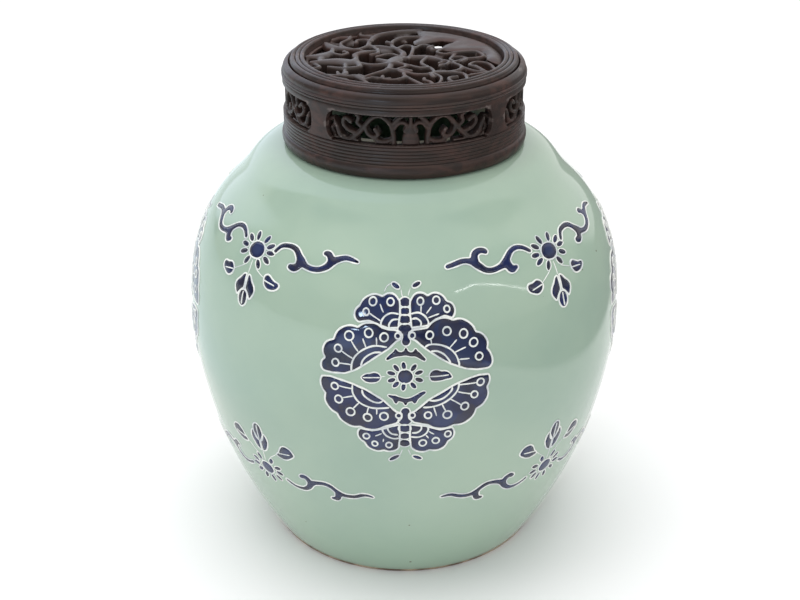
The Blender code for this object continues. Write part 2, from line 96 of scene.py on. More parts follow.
def bezier(controls: Sequence[Point], count: int) -> list[Point]:
    """Points along a Bezier curve, ends included.

    Args:
        controls: The curve's control points.
        count: How many spans the curve is divided into.

    Returns:
        The count + 1 points.
    """
    degree = len(controls) - 1
    points = []
    for step in range(count + 1):
        t = step / count
        weights = [comb(degree, i) * (1 - t) ** (degree - i) * t**i for i in range(degree + 1)]
        points.append(tuple(sum(w * p[axis] for w, p in zip(weights, controls)) for axis in (0, 1)))
    return points


def arc(centre: Point, radius: float, start: float, end: float, count: int) -> list[Point]:
    """Points on an arc.

    Args:
        centre: The arc's centre.
        radius: Its radius.
        start: The first angle, in degrees.
        end: The last angle, in degrees.
        count: How many spans the arc is divided into.

    Returns:
        The count + 1 points.
    """
    angles = [radians(start + (end - start) * i / count) for i in range(count + 1)]
    return [(centre[0] + radius * cos(a), centre[1] + radius * sin(a)) for a in angles]


def bead_run(radius: float, top: float, bottom: float, count: int, depth: float) -> list[Point]:
    """Fine round beads down a turned wall, with a narrow groove between each two.

    Args:
        radius: The radius over the beads.
        top: The height where the run starts.
        bottom: The height where it ends.
        count: How many beads there are.
        depth: How deep the grooves are.

    Returns:
        The run's profile, top to bottom.
    """
    pitch = (top - bottom) / count
    samples = (0.0, 0.08, 0.22, 0.5, 0.78, 0.92)
    points = []
    for bead in range(count):
        for share in samples:
            swell = sin(pi * share) ** 0.45
            points.append((radius - depth * (1.0 - swell), top - pitch * (bead + share)))
    points.append((radius - depth, bottom))
    return points


def turned(name: str, profile: Sequence[Point], steps: int, sharp: float = 40.0) -> Piece:
    """Turn a profile about the Z axis, as on a wheel or a lathe.

    Args:
        name: The object's name.
        profile: Its section as (radius, height); it ends on the axis, or closes on itself.
        steps: How many steps there are in the full turn.
        sharp: The angle, in degrees, above which an edge is shaded sharp.

    Returns:
        The closed, outward-facing object.
    """
    if profile[0][0] > 0.0:
        profile = list(profile) + [profile[0]]
    bpy.ops.object.select_all(action="DESELECT")
    bpy.ops.mesh.primitive_plane_add(size=MILLIMETRE, location=(0.0, 0.0, 0.0))
    made = bpy.context.object
    made.name = made.data.name = name
    bpy.ops.object.mode_set(mode="EDIT")
    bpy.ops.mesh.select_all(action="SELECT")
    bpy.ops.mesh.merge(type="CENTER")
    bpy.ops.transform.translate(value=(profile[0][0], 0.0, profile[0][1]))
    for before, after in zip(profile, profile[1:]):
        move = (after[0] - before[0], 0.0, after[1] - before[1])
        bpy.ops.mesh.extrude_region_move(TRANSFORM_OT_translate={"value": move})
    bpy.ops.mesh.select_all(action="SELECT")
    bpy.ops.mesh.spin(steps=steps, angle=2 * pi, center=(0.0, 0.0, 0.0), axis=(0.0, 0.0, 1.0))
    bpy.ops.mesh.select_all(action="SELECT")
    bpy.ops.mesh.remove_doubles(threshold=1e-6)
    bpy.ops.mesh.normals_make_consistent(inside=False)
    bpy.ops.object.mode_set(mode="OBJECT")
    bpy.ops.object.shade_smooth_by_angle(angle=radians(sharp))
    return made


def from_faces(name: str, verts: np.ndarray, faces: Sequence[Sequence[int]]) -> Piece:
    """Link an object made of the given points and faces.

    Args:
        name: The object's name.
        verts: Its points, one row each.
        faces: Its faces, as point numbers.

    Returns:
        The object.
    """
    mesh = bpy.data.meshes.new(name)
    mesh.from_pydata([tuple(v) for v in verts], [], faces)
    mesh.update()
    made = bpy.data.objects.new(name, mesh)
    bpy.context.scene.collection.objects.link(made)
    return made


def read_points(piece: Piece) -> np.ndarray:
    """The object's points, one row each."""
    flat = np.empty(len(piece.data.vertices) * 3)
    piece.data.vertices.foreach_get("co", flat)
    return flat.reshape(-1, 3)


def write_points(piece: Piece, points: np.ndarray) -> None:
    """Move the object's points to the given places."""
    piece.data.vertices.foreach_set("co", points.ravel())
    piece.data.update()


def turn_mesh(piece: Piece, angle: float) -> None:
    """Turn an object's mesh about the Z axis, leaving the object at the origin.

    Args:
        piece: The object.
        angle: The angle, in radians.
    """
    points = read_points(piece)
    x = points[:, 0] * cos(angle) - points[:, 1] * sin(angle)
    y = points[:, 0] * sin(angle) + points[:, 1] * cos(angle)
    write_points(piece, np.column_stack((x, y, points[:, 2])))


def copied(piece: Piece, name: str) -> Piece:
    """Copy an object, with its own mesh, under a new name."""
    twin = piece.copy()
    twin.data = piece.data.copy()
    twin.name = twin.data.name = name
    bpy.context.scene.collection.objects.link(twin)
    return twin


def face_outwards(piece: Piece, merge: float = 0.0) -> None:
    """Turn every face outwards and drop loose points.

    Args:
        piece: The object.
        merge: How near two points are merged into one first, if at all.
    """
    take(piece)
    bpy.ops.object.mode_set(mode="EDIT")
    bpy.ops.mesh.select_all(action="SELECT")
    if merge:
        bpy.ops.mesh.remove_doubles(threshold=merge)
    bpy.ops.mesh.delete_loose()
    bpy.ops.mesh.select_all(action="SELECT")
    bpy.ops.mesh.normals_make_consistent(inside=False)
    bpy.ops.object.mode_set(mode="OBJECT")


def apply_modifier(piece: Piece, kind: str, **settings: object) -> None:
    """Add a modifier with the given settings and apply it.

    Args:
        piece: The object.
        kind: The modifier's type.
        **settings: Values for the modifier's properties.
    """
    take(piece)
    modifier = piece.modifiers.new(kind.lower(), kind)
    for key, value in settings.items():
        setattr(modifier, key, value)
    bpy.ops.object.modifier_apply(modifier=modifier.name)


# --- drawing: flat outlines, in millimetres ----------------------------------------
def smooth_run(points: Stroke, spacing: float) -> np.ndarray:
    """A Catmull-Rom curve through given points (x, y, half width).

    Args:
        points: The points that the curve passes through.
        spacing: About how far apart the curve's own points are.

    Returns:
        One row (x, y, half width) for each point of the curve.
    """
    ends = [np.array(points[0])] + [np.array(p) for p in points] + [np.array(points[-1])]
    path = []
    for before, start, end, after in zip(ends, ends[1:], ends[2:], ends[3:]):
        steps = max(1, ceil(hypot(*(end - start)[:2]) / spacing))
        slope = end - before
        bend = 2 * before - 5 * start + 4 * end - after
        twist = 3 * start - before - 3 * end + after
        for step in range(steps):
            t = step / steps
            path.append(start + 0.5 * (slope * t + bend * t**2 + twist * t**3))
    path.append(ends[-1])
    return np.array(path)


def ellipse(x: float, y: float, rx: float, ry: float, turn: float = 0.0, sides: int = 28) -> np.ndarray:
    """An ellipse's outline.

    Args:
        x: The centre across.
        y: The centre up.
        rx: Half its length.
        ry: Half its width.
        turn: The angle of its length, in degrees.
        sides: How many points the outline has.

    Returns:
        One row for each point.
    """
    t = np.linspace(0.0, 2 * pi, sides, endpoint=False)
    a = radians(turn)
    along, across = rx * np.cos(t), ry * np.sin(t)
    return np.column_stack((x + along * cos(a) - across * sin(a), y + along * sin(a) + across * cos(a)))


def lobed(corners: Sequence[Triple]) -> np.ndarray:
    """An outline of corners joined by straight sides and round lobes.

    Args:
        corners: Each (x, y, bulge); the side that leaves a corner swells outwards by
            bulge times half its length.

    Returns:
        One row for each point of the outline.
    """
    xy = np.array([c[:2] for c in corners])
    after = np.roll(xy, -1, axis=0)
    area = np.sum(xy[:, 0] * after[:, 1] - after[:, 0] * xy[:, 1])
    outward = 1.0 if area > 0 else -1.0
    points = []
    for (x, y, bulge), end in zip(corners, after):
        run = end - (x, y)
        out = np.array((run[1], -run[0])) * outward
        steps = max(1, ceil(hypot(*run) / 0.7)) if bulge else max(1, ceil(hypot(*run) / 2.0))
        for step in range(steps):
            t = step / steps
            swell = 0.5 * bulge * (1.0 - abs(2 * t - 1) ** 2.5)
            points.append((x, y) + run * t + out * swell)
    return np.array(points)


def mirrored(points: Stroke, side: int) -> Stroke:
    """The points of a stroke or an outline, mirrored across the middle where the side is -1."""
    return [(side * x, y, last) for x, y, last in points]


def stroke_cells(points: Stroke, grow: float = 0.0, spacing: float = 0.5) -> list[np.ndarray]:
    """Cover a tapered, curving brush stroke with short quadrilaterals and round ends.

    Args:
        points: The stroke's (x, y, half width).
        grow: How much wider than that it is drawn, to each side.
        spacing: About how long each quadrilateral is.

    Returns:
        The outlines, which overlap.
    """
    path = smooth_run(points, spacing)
    path[:, 2] += grow
    along = np.gradient(path[:, :2], axis=0)
    along /= np.maximum(np.linalg.norm(along, axis=1, keepdims=True), 1e-9)
    side = np.column_stack((-along[:, 1], along[:, 0])) * path[:, 2:]
    left, right = path[:, :2] + side, path[:, :2] - side
    cells = [np.array(quad) for quad in zip(right, right[1:], left[1:], left)]
    return cells + [ellipse(*end[:2], end[2], end[2], sides=16) for end in (path[0], path[-1])]


def inside(points: np.ndarray, outline: np.ndarray) -> np.ndarray:
    """Which points lie inside an outline.

    Args:
        points: One row each.
        outline: The closed outline's points.

    Returns:
        True for each point that is inside.
    """
    a, b = outline, np.roll(outline, -1, axis=0)
    y = points[:, 1:2]
    spans = (a[:, 1] > y) != (b[:, 1] > y)
    rise = np.where(b[:, 1] == a[:, 1], 1.0, b[:, 1] - a[:, 1])
    reach = a[:, 0] + (y - a[:, 1]) * (b[:, 0] - a[:, 0]) / rise
    return np.count_nonzero(spans & (reach > points[:, 0:1]), axis=1) % 2 == 1


def triangulated(points: np.ndarray, loops: Sequence[np.ndarray]) -> tuple[np.ndarray, np.ndarray]:
    """Triangulate a plane region so that the loops' sides are kept.

    Args:
        points: Loose points, one row each, which may be none.
        loops: Closed outlines.

    Returns:
        All points, the loops' first, and the triangles as point numbers.
    """
    everything, edges = [], []
    for loop in loops:
        first, count = len(everything), len(loop)
        everything += [tuple(p) for p in loop]
        edges += [(first + i, first + (i + 1) % count) for i in range(count)]
    everything += [tuple(p) for p in points]
    found, _, cells, _, _, _ = delaunay_2d_cdt(everything, edges, [], 0, 1e-6)
    return np.array([tuple(p) for p in found]), np.array(cells)


def outer_loops(outlines: Sequence[np.ndarray], step: float) -> list[np.ndarray]:
    """Merge overlapping outlines and give the merged shape's own edges, evenly stepped.

    Args:
        outlines: The outlines.
        step: The distance between an edge's points.

    Returns:
        One closed loop for the outside and one for each hole.
    """
    points, cells = triangulated(np.empty((0, 2)), outlines)
    middles = points[cells].mean(axis=1)
    covered = np.zeros(len(cells), dtype=bool)
    for outline in outlines:
        covered |= inside(middles, outline)
    sides = {(int(c[i]), int(c[(i + 1) % 3])) for c in cells[covered] for i in range(3)}
    following: dict[int, list[int]] = {}
    for a, b in sorted(sides):
        if (b, a) not in sides:
            following.setdefault(a, []).append(b)
    loops = []
    while following:
        start = next(iter(following))
        loop, here = [], start
        while here in following:
            loop.append(points[here])
            after = following[here].pop()
            if not following[here]:
                del following[here]
            here = after
            if here == start:
                break
        if len(loop) > 2:
            loops.append(evened(np.array(loop), step))
    return [loop for loop in loops if len(loop) > 5]


def evened(loop: np.ndarray, step: float, passes: int = 2) -> np.ndarray:
    """Step evenly round a closed loop and soften its kinks a little.

    Args:
        loop: The loop's points.
        step: The distance between the new points.
        passes: How many times each point moves towards its neighbours' middle.

    Returns:
        The new loop.
    """
    closed = np.vstack((loop, loop[:1]))
    lengths = np.concatenate(([0.0], np.cumsum(np.linalg.norm(np.diff(closed, axis=0), axis=1))))
    count = max(4, round(lengths[-1] / step))
    at = np.linspace(0.0, lengths[-1], count, endpoint=False)
    new = np.column_stack([np.interp(at, lengths, closed[:, axis]) for axis in (0, 1)])
    for _ in range(passes):
        new = 0.5 * new + 0.25 * (np.roll(new, 1, axis=0) + np.roll(new, -1, axis=0))
    return new


def nearest(points: np.ndarray, edge: np.ndarray) -> np.ndarray:
    """How far each point is from the nearest of the edge's points."""
    reach = np.empty(len(points))
    for start in range(0, len(points), 2000):
        part = points[start:start + 2000]
        reach[start:start + 2000] = np.sqrt(((part[:, None] - edge[None]) ** 2).sum(axis=2)).min(axis=1)
    return reach


def pillow(
    name: str,
    loops: Sequence[np.ndarray],
    spacing: float,
    front: Callable[[np.ndarray, np.ndarray], np.ndarray],
    rim: float,
    back: float,
) -> Piece:
    """A closed solid over a flat shape, with a front that swells away from its edges.

    Args:
        name: The object's name.
        loops: The shape's edges.
        spacing: The distance between the points inside it.
        front: Gives the front's height from the points and their distance to the edge.
        rim: The height of the edge.
        back: The height of the back.

    Returns:
        The solid, with a point attribute "depth" holding the distance to the edge.
    """
    edge = np.vstack(loops)
    low, high = edge.min(axis=0), edge.max(axis=0)
    rows = np.arange(low[1], high[1], spacing * 0.87)
    grid = [
        (x + (0.5 * spacing if row % 2 else 0.0), y)
        for row, y in enumerate(rows)
        for x in np.arange(low[0], high[0], spacing)
    ]
    grid = np.array(grid)
    within = np.zeros(len(grid), dtype=int)
    for loop in loops:
        within += inside(grid, loop)
    grid = grid[within % 2 == 1]
    if len(grid):
        grid = grid[nearest(grid, edge) > 0.6 * spacing]
    points, cells = triangulated(grid, loops)
    middles = points[cells].mean(axis=1)
    filled = np.zeros(len(cells), dtype=int)
    for loop in loops:
        filled += inside(middles, loop)
    cells = cells[filled % 2 == 1]
    depth = nearest(points, edge)
    on_edge = depth < 1e-5
    tops = np.where(on_edge, rim, front(points, depth))
    upper = np.column_stack((points, tops))
    lower = np.column_stack((points, np.where(on_edge, rim, back)))
    twin = np.where(on_edge, np.arange(len(points)), np.arange(len(points)) + len(points))
    faces = [tuple(c) for c in cells.tolist()] + [tuple(twin[c[::-1]].tolist()) for c in cells]
    made = from_faces(name, np.vstack((upper, lower)), faces)
    values = np.concatenate((depth, depth))
    attribute = made.data.attributes.new("depth", "FLOAT", "POINT")
    attribute.data.foreach_set("value", values)
    face_outwards(made)
    bpy.ops.object.shade_smooth()
    return made


# --- finishes ----------------------------------------------------------------------
class Sheet:
    """A node tree being laid out, with short ways to add and join its nodes."""

    def __init__(self, tree: bpy.types.NodeTree) -> None:
        """Start on a tree."""
        self.tree = tree

    def join(self, value: object, socket: object) -> None:
        """Lead one node's output to another's input."""
        self.tree.links.new(value, socket)

    def add(self, kind: str, values: dict | None = None, **settings: object) -> bpy.types.Node:
        """Add a node.

        Args:
            kind: The node's type, without "ShaderNode".
            values: What its input sockets hold, or the output sockets that they take.
            **settings: Values for the node's own properties.

        Returns:
            The node.
        """
        node = self.tree.nodes.new("ShaderNode" + kind)
        for key, value in settings.items():
            setattr(node, key, value)
        for key, value in (values or {}).items():
            if isinstance(value, bpy.types.NodeSocket):
                self.tree.links.new(value, node.inputs[key])
            else:
                node.inputs[key].default_value = value
        return node

    def mix(self, share: object, first: object, second: object) -> bpy.types.NodeSocket:
        """Mix two colours.

        Args:
            share: How much of the second, a number or a socket.
            first: The first colour or socket.
            second: The second colour or socket.

        Returns:
            The mixed colour's socket.
        """
        values = {0: share, 6: rgba(first), 7: rgba(second)}
        return self.add("Mix", values, data_type="RGBA").outputs[2]

    def span(self, source: object, low: float, high: float, start: float = 0.0, end: float = 1.0) -> object:
        """Map a value from one range to another, softly and held at both ends.

        Args:
            source: The value's socket.
            low: The value that becomes start.
            high: The value that becomes end.
            start: The first result.
            end: The last result.

        Returns:
            The result's socket.
        """
        values = {0: source, 1: low, 2: high, 3: start, 4: end}
        return self.add("MapRange", values, interpolation_type="SMOOTHSTEP").outputs[0]

    def sum(self, first: object, second: object, how: str = "ADD") -> object:
        """Join two values by adding them, or as how says."""
        return self.add("Math", {0: first, 1: second}, operation=how).outputs[0]

    def group(self, tree: bpy.types.NodeTree, **values: object) -> bpy.types.Node:
        """Place a shared effect, with its own values for its inputs."""
        node = self.tree.nodes.new("ShaderNodeGroup")
        node.node_tree = tree
        for key, value in values.items():
            node.inputs[key.replace("_", " ")].default_value = value
        return node


def rgba(colour: object) -> object:
    """A colour with its alpha, or the socket as it came."""
    return (*colour, 1.0) if isinstance(colour, tuple) and len(colour) == 3 else colour


def effect(name: str, inputs: dict[str, float], outputs: Sequence[str]) -> tuple[Sheet, object, object]:
    """Start a shared effect as a node group.

    Args:
        name: The group's name.
        inputs: Its number inputs and their first values.
        outputs: Its number outputs.

    Returns:
        The group's sheet, its input node and its output node.
    """
    tree = bpy.data.node_groups.new(name, "ShaderNodeTree")
    for label, value in inputs.items():
        socket = tree.interface.new_socket(label, in_out="INPUT", socket_type="NodeSocketFloat")
        socket.default_value = value
    for label in outputs:
        tree.interface.new_socket(label, in_out="OUTPUT", socket_type="NodeSocketFloat")
    return Sheet(tree), tree.nodes.new("NodeGroupInput"), tree.nodes.new("NodeGroupOutput")


def make_mottle() -> bpy.types.NodeTree:
    """Soft patches, for tone that drifts over a glaze or a board."""
    sheet, given, out = effect("mottle", {"Scale": 20.0, "Detail": 3.0, "Spread": 0.2}, ["Mask"])
    place = sheet.add("TexCoord").outputs["Object"]
    noise = sheet.add("TexNoise", {"Vector": place, "Scale": given.outputs[0], "Detail": given.outputs[1]})
    low = sheet.sum(0.5, given.outputs[2], "SUBTRACT")
    high = sheet.sum(0.5, given.outputs[2], "ADD")
    mask = sheet.span(noise.outputs[0], low, high)
    sheet.join(mask, out.inputs["Mask"])
    return sheet.tree


def make_glaze_skin() -> bpy.types.NodeTree:
    """The slight waves and fine orange peel of a thick fired glaze, as a height in metres."""
    inputs = {"Wave": 0.0002, "Peel": 0.00001}
    sheet, given, out = effect("glaze_skin", inputs, ["Height"])
    place = sheet.add("TexCoord").outputs["Object"]
    wave = sheet.add("TexNoise", {"Vector": place, "Scale": 32.0, "Detail": 1.0})
    peel = sheet.add("TexNoise", {"Vector": place, "Scale": 700.0, "Detail": 2.0})
    waved = sheet.sum(wave.outputs[0], given.outputs[0], "MULTIPLY")
    peeled = sheet.sum(peel.outputs[0], given.outputs[1], "MULTIPLY")
    sheet.join(sheet.sum(waved, peeled), out.inputs["Height"])
    return sheet.tree


def make_wear_highlight_and_shade() -> bpy.types.NodeTree:
    """Where a form stands proud, for edges painted paler as rubbing and as a painted highlight, and where it
    is hollow, for painted shade; the edges are broken up by a fine grain.
    """
    inputs = {"Edge from": 0.52, "Edge to": 0.60, "Hollow from": 0.49, "Hollow to": 0.42}
    sheet, given, out = effect("edge_wear_highlight_and_shade", inputs, ["Edge", "Hollow"])
    place = sheet.add("TexCoord").outputs["Object"]
    pointed = sheet.add("NewGeometry").outputs["Pointiness"]
    grain = sheet.add("TexNoise", {"Vector": place, "Scale": 420.0, "Detail": 3.0}).outputs[0]
    broken = sheet.span(grain, 0.3, 0.7, 0.55, 1.0)
    # Edge: proud edges, painted paler as rubbing and as a painted highlight. Hollow: recesses, painted near
    # black as shade.
    edge = sheet.span(pointed, given.outputs[0], given.outputs[1])
    hollow = sheet.span(pointed, given.outputs[2], given.outputs[3])
    sheet.join(sheet.sum(edge, broken, "MULTIPLY"), out.inputs["Edge"])
    sheet.join(hollow, out.inputs["Hollow"])
    return sheet.tree


def make_grain() -> bpy.types.NodeTree:
    """Dark hardwood's grain: long streaks across the turning, and short open pores."""
    inputs = {"Across": 900.0, "Along": 55.0, "Pore": 0.5}
    sheet, given, out = effect("grain", inputs, ["Streak", "Pores"])
    place = sheet.add("TexCoord").outputs["Object"]
    ways = sheet.add("CombineXYZ", {0: given.outputs[1], 1: given.outputs[0], 2: given.outputs[0]}).outputs[0]
    drawn = sheet.add("VectorMath", {0: place, 1: ways}, operation="MULTIPLY").outputs[0]
    streak_values = {"Vector": drawn, "Scale": 0.35, "Detail": 4.0, "Distortion": 0.4}
    streak = sheet.add("TexNoise", streak_values).outputs[0]
    pores = sheet.add("TexNoise", {"Vector": drawn, "Scale": 1.6, "Detail": 2.0}).outputs[0]
    sheet.join(sheet.span(streak, 0.32, 0.68), out.inputs["Streak"])
    opened = sheet.span(pores, 0.36, 0.30)
    sheet.join(sheet.sum(opened, given.outputs[2], "MULTIPLY"), out.inputs["Pores"])
    return sheet.tree


@dataclass
class Effects:
    """The shared effects, each built once."""

    mottle: bpy.types.NodeTree = field(default_factory=make_mottle)
    skin: bpy.types.NodeTree = field(default_factory=make_glaze_skin)
    wear_and_painted_light: bpy.types.NodeTree = field(default_factory=make_wear_highlight_and_shade)
    grain: bpy.types.NodeTree = field(default_factory=make_grain)


def new_finish(name: str) -> tuple[bpy.types.Material, Sheet, bpy.types.Node]:
    """Start a material.

    Args:
        name: The material's name.

    Returns:
        The material, its sheet and its Principled shader.
    """
    material = bpy.data.materials.new(name)
    material.use_nodes = True
    return material, Sheet(material.node_tree), material.node_tree.nodes["Principled BSDF"]


def raise_surface(sheet: Sheet, shader: bpy.types.Node, height: object, distance: float = 1.0) -> None:
    """Give a shader a bump from a height.

    Args:
        sheet: The material's sheet.
        shader: Its shader.
        height: The height's socket.
        distance: How many metres one unit of height stands for.
    """
    bump = sheet.add("Bump", {"Height": height, "Distance": distance, "Strength": 1.0})
    sheet.join(bump.outputs[0], shader.inputs["Normal"])


@dataclass(frozen=True)
class CeladonGlaze:
    """Thick green glaze over the whole jar, thinner and creamier on the neck and rim."""

    pale: Colour = (0.335, 0.435, 0.342)
    deep: Colour = (0.284, 0.386, 0.312)
    foot_tone: Colour = (0.285, 0.400, 0.292)
    cream: Colour = (0.62, 0.60, 0.47)
    speck: Colour = (0.10, 0.075, 0.05)
    roughness: float = 0.075
    neck_from: float = 0.1935
    neck_to: float = 0.1990

    def make(self, effects: Effects) -> bpy.types.Material:
        """Build the material from the shared effects."""
        material, sheet, shader = new_finish("celadon_glaze")
        place = sheet.add("TexCoord").outputs["Object"]
        height = sheet.add("SeparateXYZ", {0: place}).outputs[2]
        drift = sheet.group(effects.mottle, Scale=14.0, Detail=4.0, Spread=0.2).outputs[0]
        body = sheet.mix(drift, self.deep, self.pale)
        low = sheet.span(height, 0.060, 0.004)
        body = sheet.mix(sheet.sum(low, 0.75, "MULTIPLY"), body, self.foot_tone)
        clouds = sheet.group(effects.mottle, Scale=160.0, Detail=5.0, Spread=0.25).outputs[0]
        body = sheet.mix(sheet.sum(clouds, 0.10, "MULTIPLY"), body, self.pale)
        dots = sheet.add("TexVoronoi", {"Vector": place, "Scale": 75.0}).outputs["Distance"]
        sparse = sheet.group(effects.mottle, Scale=55.0, Detail=0.0, Spread=0.04).outputs[0]
        spot = sheet.sum(sheet.span(dots, 0.050, 0.030), sheet.span(sparse, 0.93, 1.0), "MULTIPLY")
        body = sheet.mix(spot, body, self.speck)
        neck = sheet.span(height, self.neck_from, self.neck_to)
        body = sheet.mix(neck, body, self.cream)
        sheet.join(body, shader.inputs["Base Color"])
        shader.inputs["Roughness"].default_value = self.roughness
        shader.inputs["IOR"].default_value = 1.52
        skin = sheet.group(effects.skin, Wave=0.00022, Peel=0.000004).outputs[0]
        raise_surface(sheet, shader, skin)
        return material


@dataclass(frozen=True)
class WhiteSlip:
    """White slip trailed in round lines under a clear glaze."""

    white: Colour = (0.80, 0.80, 0.765)
    shadow: Colour = (0.56, 0.63, 0.60)
    stain: Colour = (0.36, 0.40, 0.46)
    roughness: float = 0.22

    def make(self, effects: Effects) -> bpy.types.Material:
        """Build the material from the shared effects."""
        material, sheet, shader = new_finish("white_slip")
        drift = sheet.group(effects.mottle, Scale=240.0, Detail=3.0, Spread=0.18).outputs[0]
        body = sheet.mix(sheet.sum(drift, 0.45, "MULTIPLY"), self.white, self.shadow)
        patch = sheet.group(effects.mottle, Scale=95.0, Detail=3.0, Spread=0.10).outputs[0]
        stained = sheet.span(patch, 0.70, 1.0, 0.0, 0.40)
        body = sheet.mix(stained, body, self.stain)
        sheet.join(body, shader.inputs["Base Color"])
        shader.inputs["Roughness"].default_value = self.roughness
        skin = sheet.group(effects.skin, Wave=0.00010, Peel=0.00003).outputs[0]
        raise_surface(sheet, shader, skin)
        return material


@dataclass(frozen=True)
class CobaltGlaze:
    """Cobalt blue flooded between the slip lines, darker where it pools."""

    pool: Colour = (0.005, 0.007, 0.028)
    blue: Colour = (0.010, 0.018, 0.080)
    worn: Colour = (0.036, 0.052, 0.120)
    rust: Colour = (0.030, 0.024, 0.030)
    roughness: float = 0.10

    def make(self, effects: Effects) -> bpy.types.Material:
        """Build the material from the shared effects."""
        material, sheet, shader = new_finish("cobalt_glaze")
        depth = sheet.add("Attribute", attribute_name="depth").outputs["Fac"]
        drift = sheet.group(effects.mottle, Scale=70.0, Detail=4.0, Spread=0.16).outputs[0]
        body = sheet.mix(drift, self.pool, self.blue)
        middle = sheet.span(depth, 0.0004, 0.0026)
        patch = sheet.group(effects.mottle, Scale=45.0, Detail=3.0, Spread=0.10).outputs[0]
        lifted = sheet.sum(sheet.sum(middle, patch, "MULTIPLY"), 0.55, "MULTIPLY")
        body = sheet.mix(lifted, body, self.worn)
        spots = sheet.group(effects.mottle, Scale=120.0, Detail=3.0, Spread=0.08).outputs[0]
        rusty = sheet.span(spots, 0.75, 1.0, 0.0, 0.45)
        body = sheet.mix(rusty, body, self.rust)
        sheet.join(body, shader.inputs["Base Color"])
        shader.inputs["Roughness"].default_value = self.roughness
        shader.inputs["IOR"].default_value = 1.52
        skin = sheet.group(effects.skin, Wave=0.00035, Peel=0.00002).outputs[0]
        raise_surface(sheet, shader, skin)
        return material


@dataclass(frozen=True)
class BareClay:
    """The bare, fired clay of the foot ring."""

    pale: Colour = (0.44, 0.34, 0.24)
    dark: Colour = (0.14, 0.09, 0.06)

    def make(self, effects: Effects) -> bpy.types.Material:
        """Build the material from the shared effects."""
        material, sheet, shader = new_finish("bare_clay")
        drift = sheet.group(effects.mottle, Scale=90.0, Detail=4.0, Spread=0.12).outputs[0]
        grit = sheet.group(effects.mottle, Scale=1500.0, Detail=2.0, Spread=0.12).outputs[0]
        body = sheet.mix(drift, self.pale, self.dark)
        body = sheet.mix(sheet.sum(grit, 0.3, "MULTIPLY"), body, self.dark)
        sheet.join(body, shader.inputs["Base Color"])
        sheet.join(sheet.span(grit, 0.0, 1.0, 0.65, 0.85), shader.inputs["Roughness"])
        raise_surface(sheet, shader, grit, 0.00008)
        return material


@dataclass(frozen=True)
class DarkHardwood:
    """Stained and waxed hardwood, its edges painted paler as rubbing and as a painted highlight, its hollows
    painted near black as shade and left dull.
    """

    name: str
    base: Colour = (0.021, 0.0125, 0.0105)
    streak: Colour = (0.058, 0.026, 0.020)
    # Paler edge colour: rubbing, and a painted highlight on proud edges.
    rubbed_and_highlight: Colour = (0.150, 0.118, 0.108)
    # Near black: the open pores, and painted shade in the hollows.
    hollow: Colour = (0.004, 0.003, 0.003)
    wear_and_painted_light: float = 0.7
    roughness: float = 0.36
    across: float = 900.0
    along: float = 55.0
    edge_to: float = 0.60

    def make(self, effects: Effects) -> bpy.types.Material:
        """Build the material from the shared effects."""
        material, sheet, shader = new_finish(self.name)
        grain = sheet.group(effects.grain, Across=self.across, Along=self.along, Pore=0.8)
        # Masks of proud edges and hollows, for the painted highlight and painted shade as well as rubbing.
        worn = sheet.group(effects.wear_and_painted_light, Edge_to=self.edge_to)
        streaks, pores = grain.outputs["Streak"], grain.outputs["Pores"]
        drift = sheet.group(effects.mottle, Scale=45.0, Detail=4.0, Spread=0.18).outputs[0]
        body = sheet.mix(sheet.sum(streaks, drift, "MULTIPLY"), self.base, self.streak)
        body = sheet.mix(sheet.sum(pores, 0.5, "MULTIPLY"), body, self.hollow)
        # Painted highlight and rubbing on proud edges, then painted shade in the hollows.
        body = sheet.mix(sheet.sum(worn.outputs["Edge"], self.wear_and_painted_light, "MULTIPLY"), body, self.rubbed_and_highlight)
        body = sheet.mix(sheet.sum(worn.outputs["Hollow"], 0.8, "MULTIPLY"), body, self.hollow)
        sheet.join(body, shader.inputs["Base Color"])
        dull = sheet.span(drift, 0.0, 1.0, self.roughness - 0.05, self.roughness + 0.10)
        dull = sheet.sum(dull, sheet.sum(worn.outputs["Hollow"], 0.25, "MULTIPLY"))
        sheet.join(dull, shader.inputs["Roughness"])
        shader.inputs["Specular IOR Level"].default_value = 0.36
        relief = sheet.sum(streaks, sheet.sum(pores, 2.0, "MULTIPLY"), "SUBTRACT")
        raise_surface(sheet, shader, relief, 0.00003)
        return material


@dataclass
class Finishes:
    """Every finish, built once from the shared effects."""

    effects: Effects = field(default_factory=Effects)
    ready: dict[Slot, bpy.types.Material] = field(default_factory=dict)

    def prepare(self) -> None:
        """Build the materials."""
        turned_wood = DarkHardwood("turned_hardwood")
        carved_wood = DarkHardwood(
            "carved_hardwood", base=(0.034, 0.023, 0.020), roughness=0.40, edge_to=0.58)
        fret_wood = DarkHardwood(
            "fret_hardwood", base=(0.020, 0.013, 0.011), roughness=0.44, edge_to=0.58)
        recipes = {
            Slot.GLAZE: CeladonGlaze(),
            Slot.SLIP: WhiteSlip(),
            Slot.COBALT: CobaltGlaze(),
            Slot.CLAY: BareClay(),
            Slot.TURNED: turned_wood,
            Slot.CARVED: carved_wood,
            Slot.FRET: fret_wood,
        }
        for slot, recipe in recipes.items():
            self.ready[slot] = recipe.make(self.effects)

    def dress(self, piece: Piece, slot: Slot, body: Body, *replaced: str) -> None:
        """Give a piece its finish, its body and the nodes it stands for, and report it.

        Args:
            piece: The finished piece.
            slot: The slot that its finish comes from.
            body: The body that it rides on.
            *replaced: The frame's nodes that it stands for.
        """
        piece.data.materials.clear()
        piece.data.materials.append(self.ready[slot])
        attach(piece, body.value)
        if replaced:
            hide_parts(*replaced)
        log.info("%s: %d faces, rides on %s", piece.name, len(piece.data.polygons), body.value)


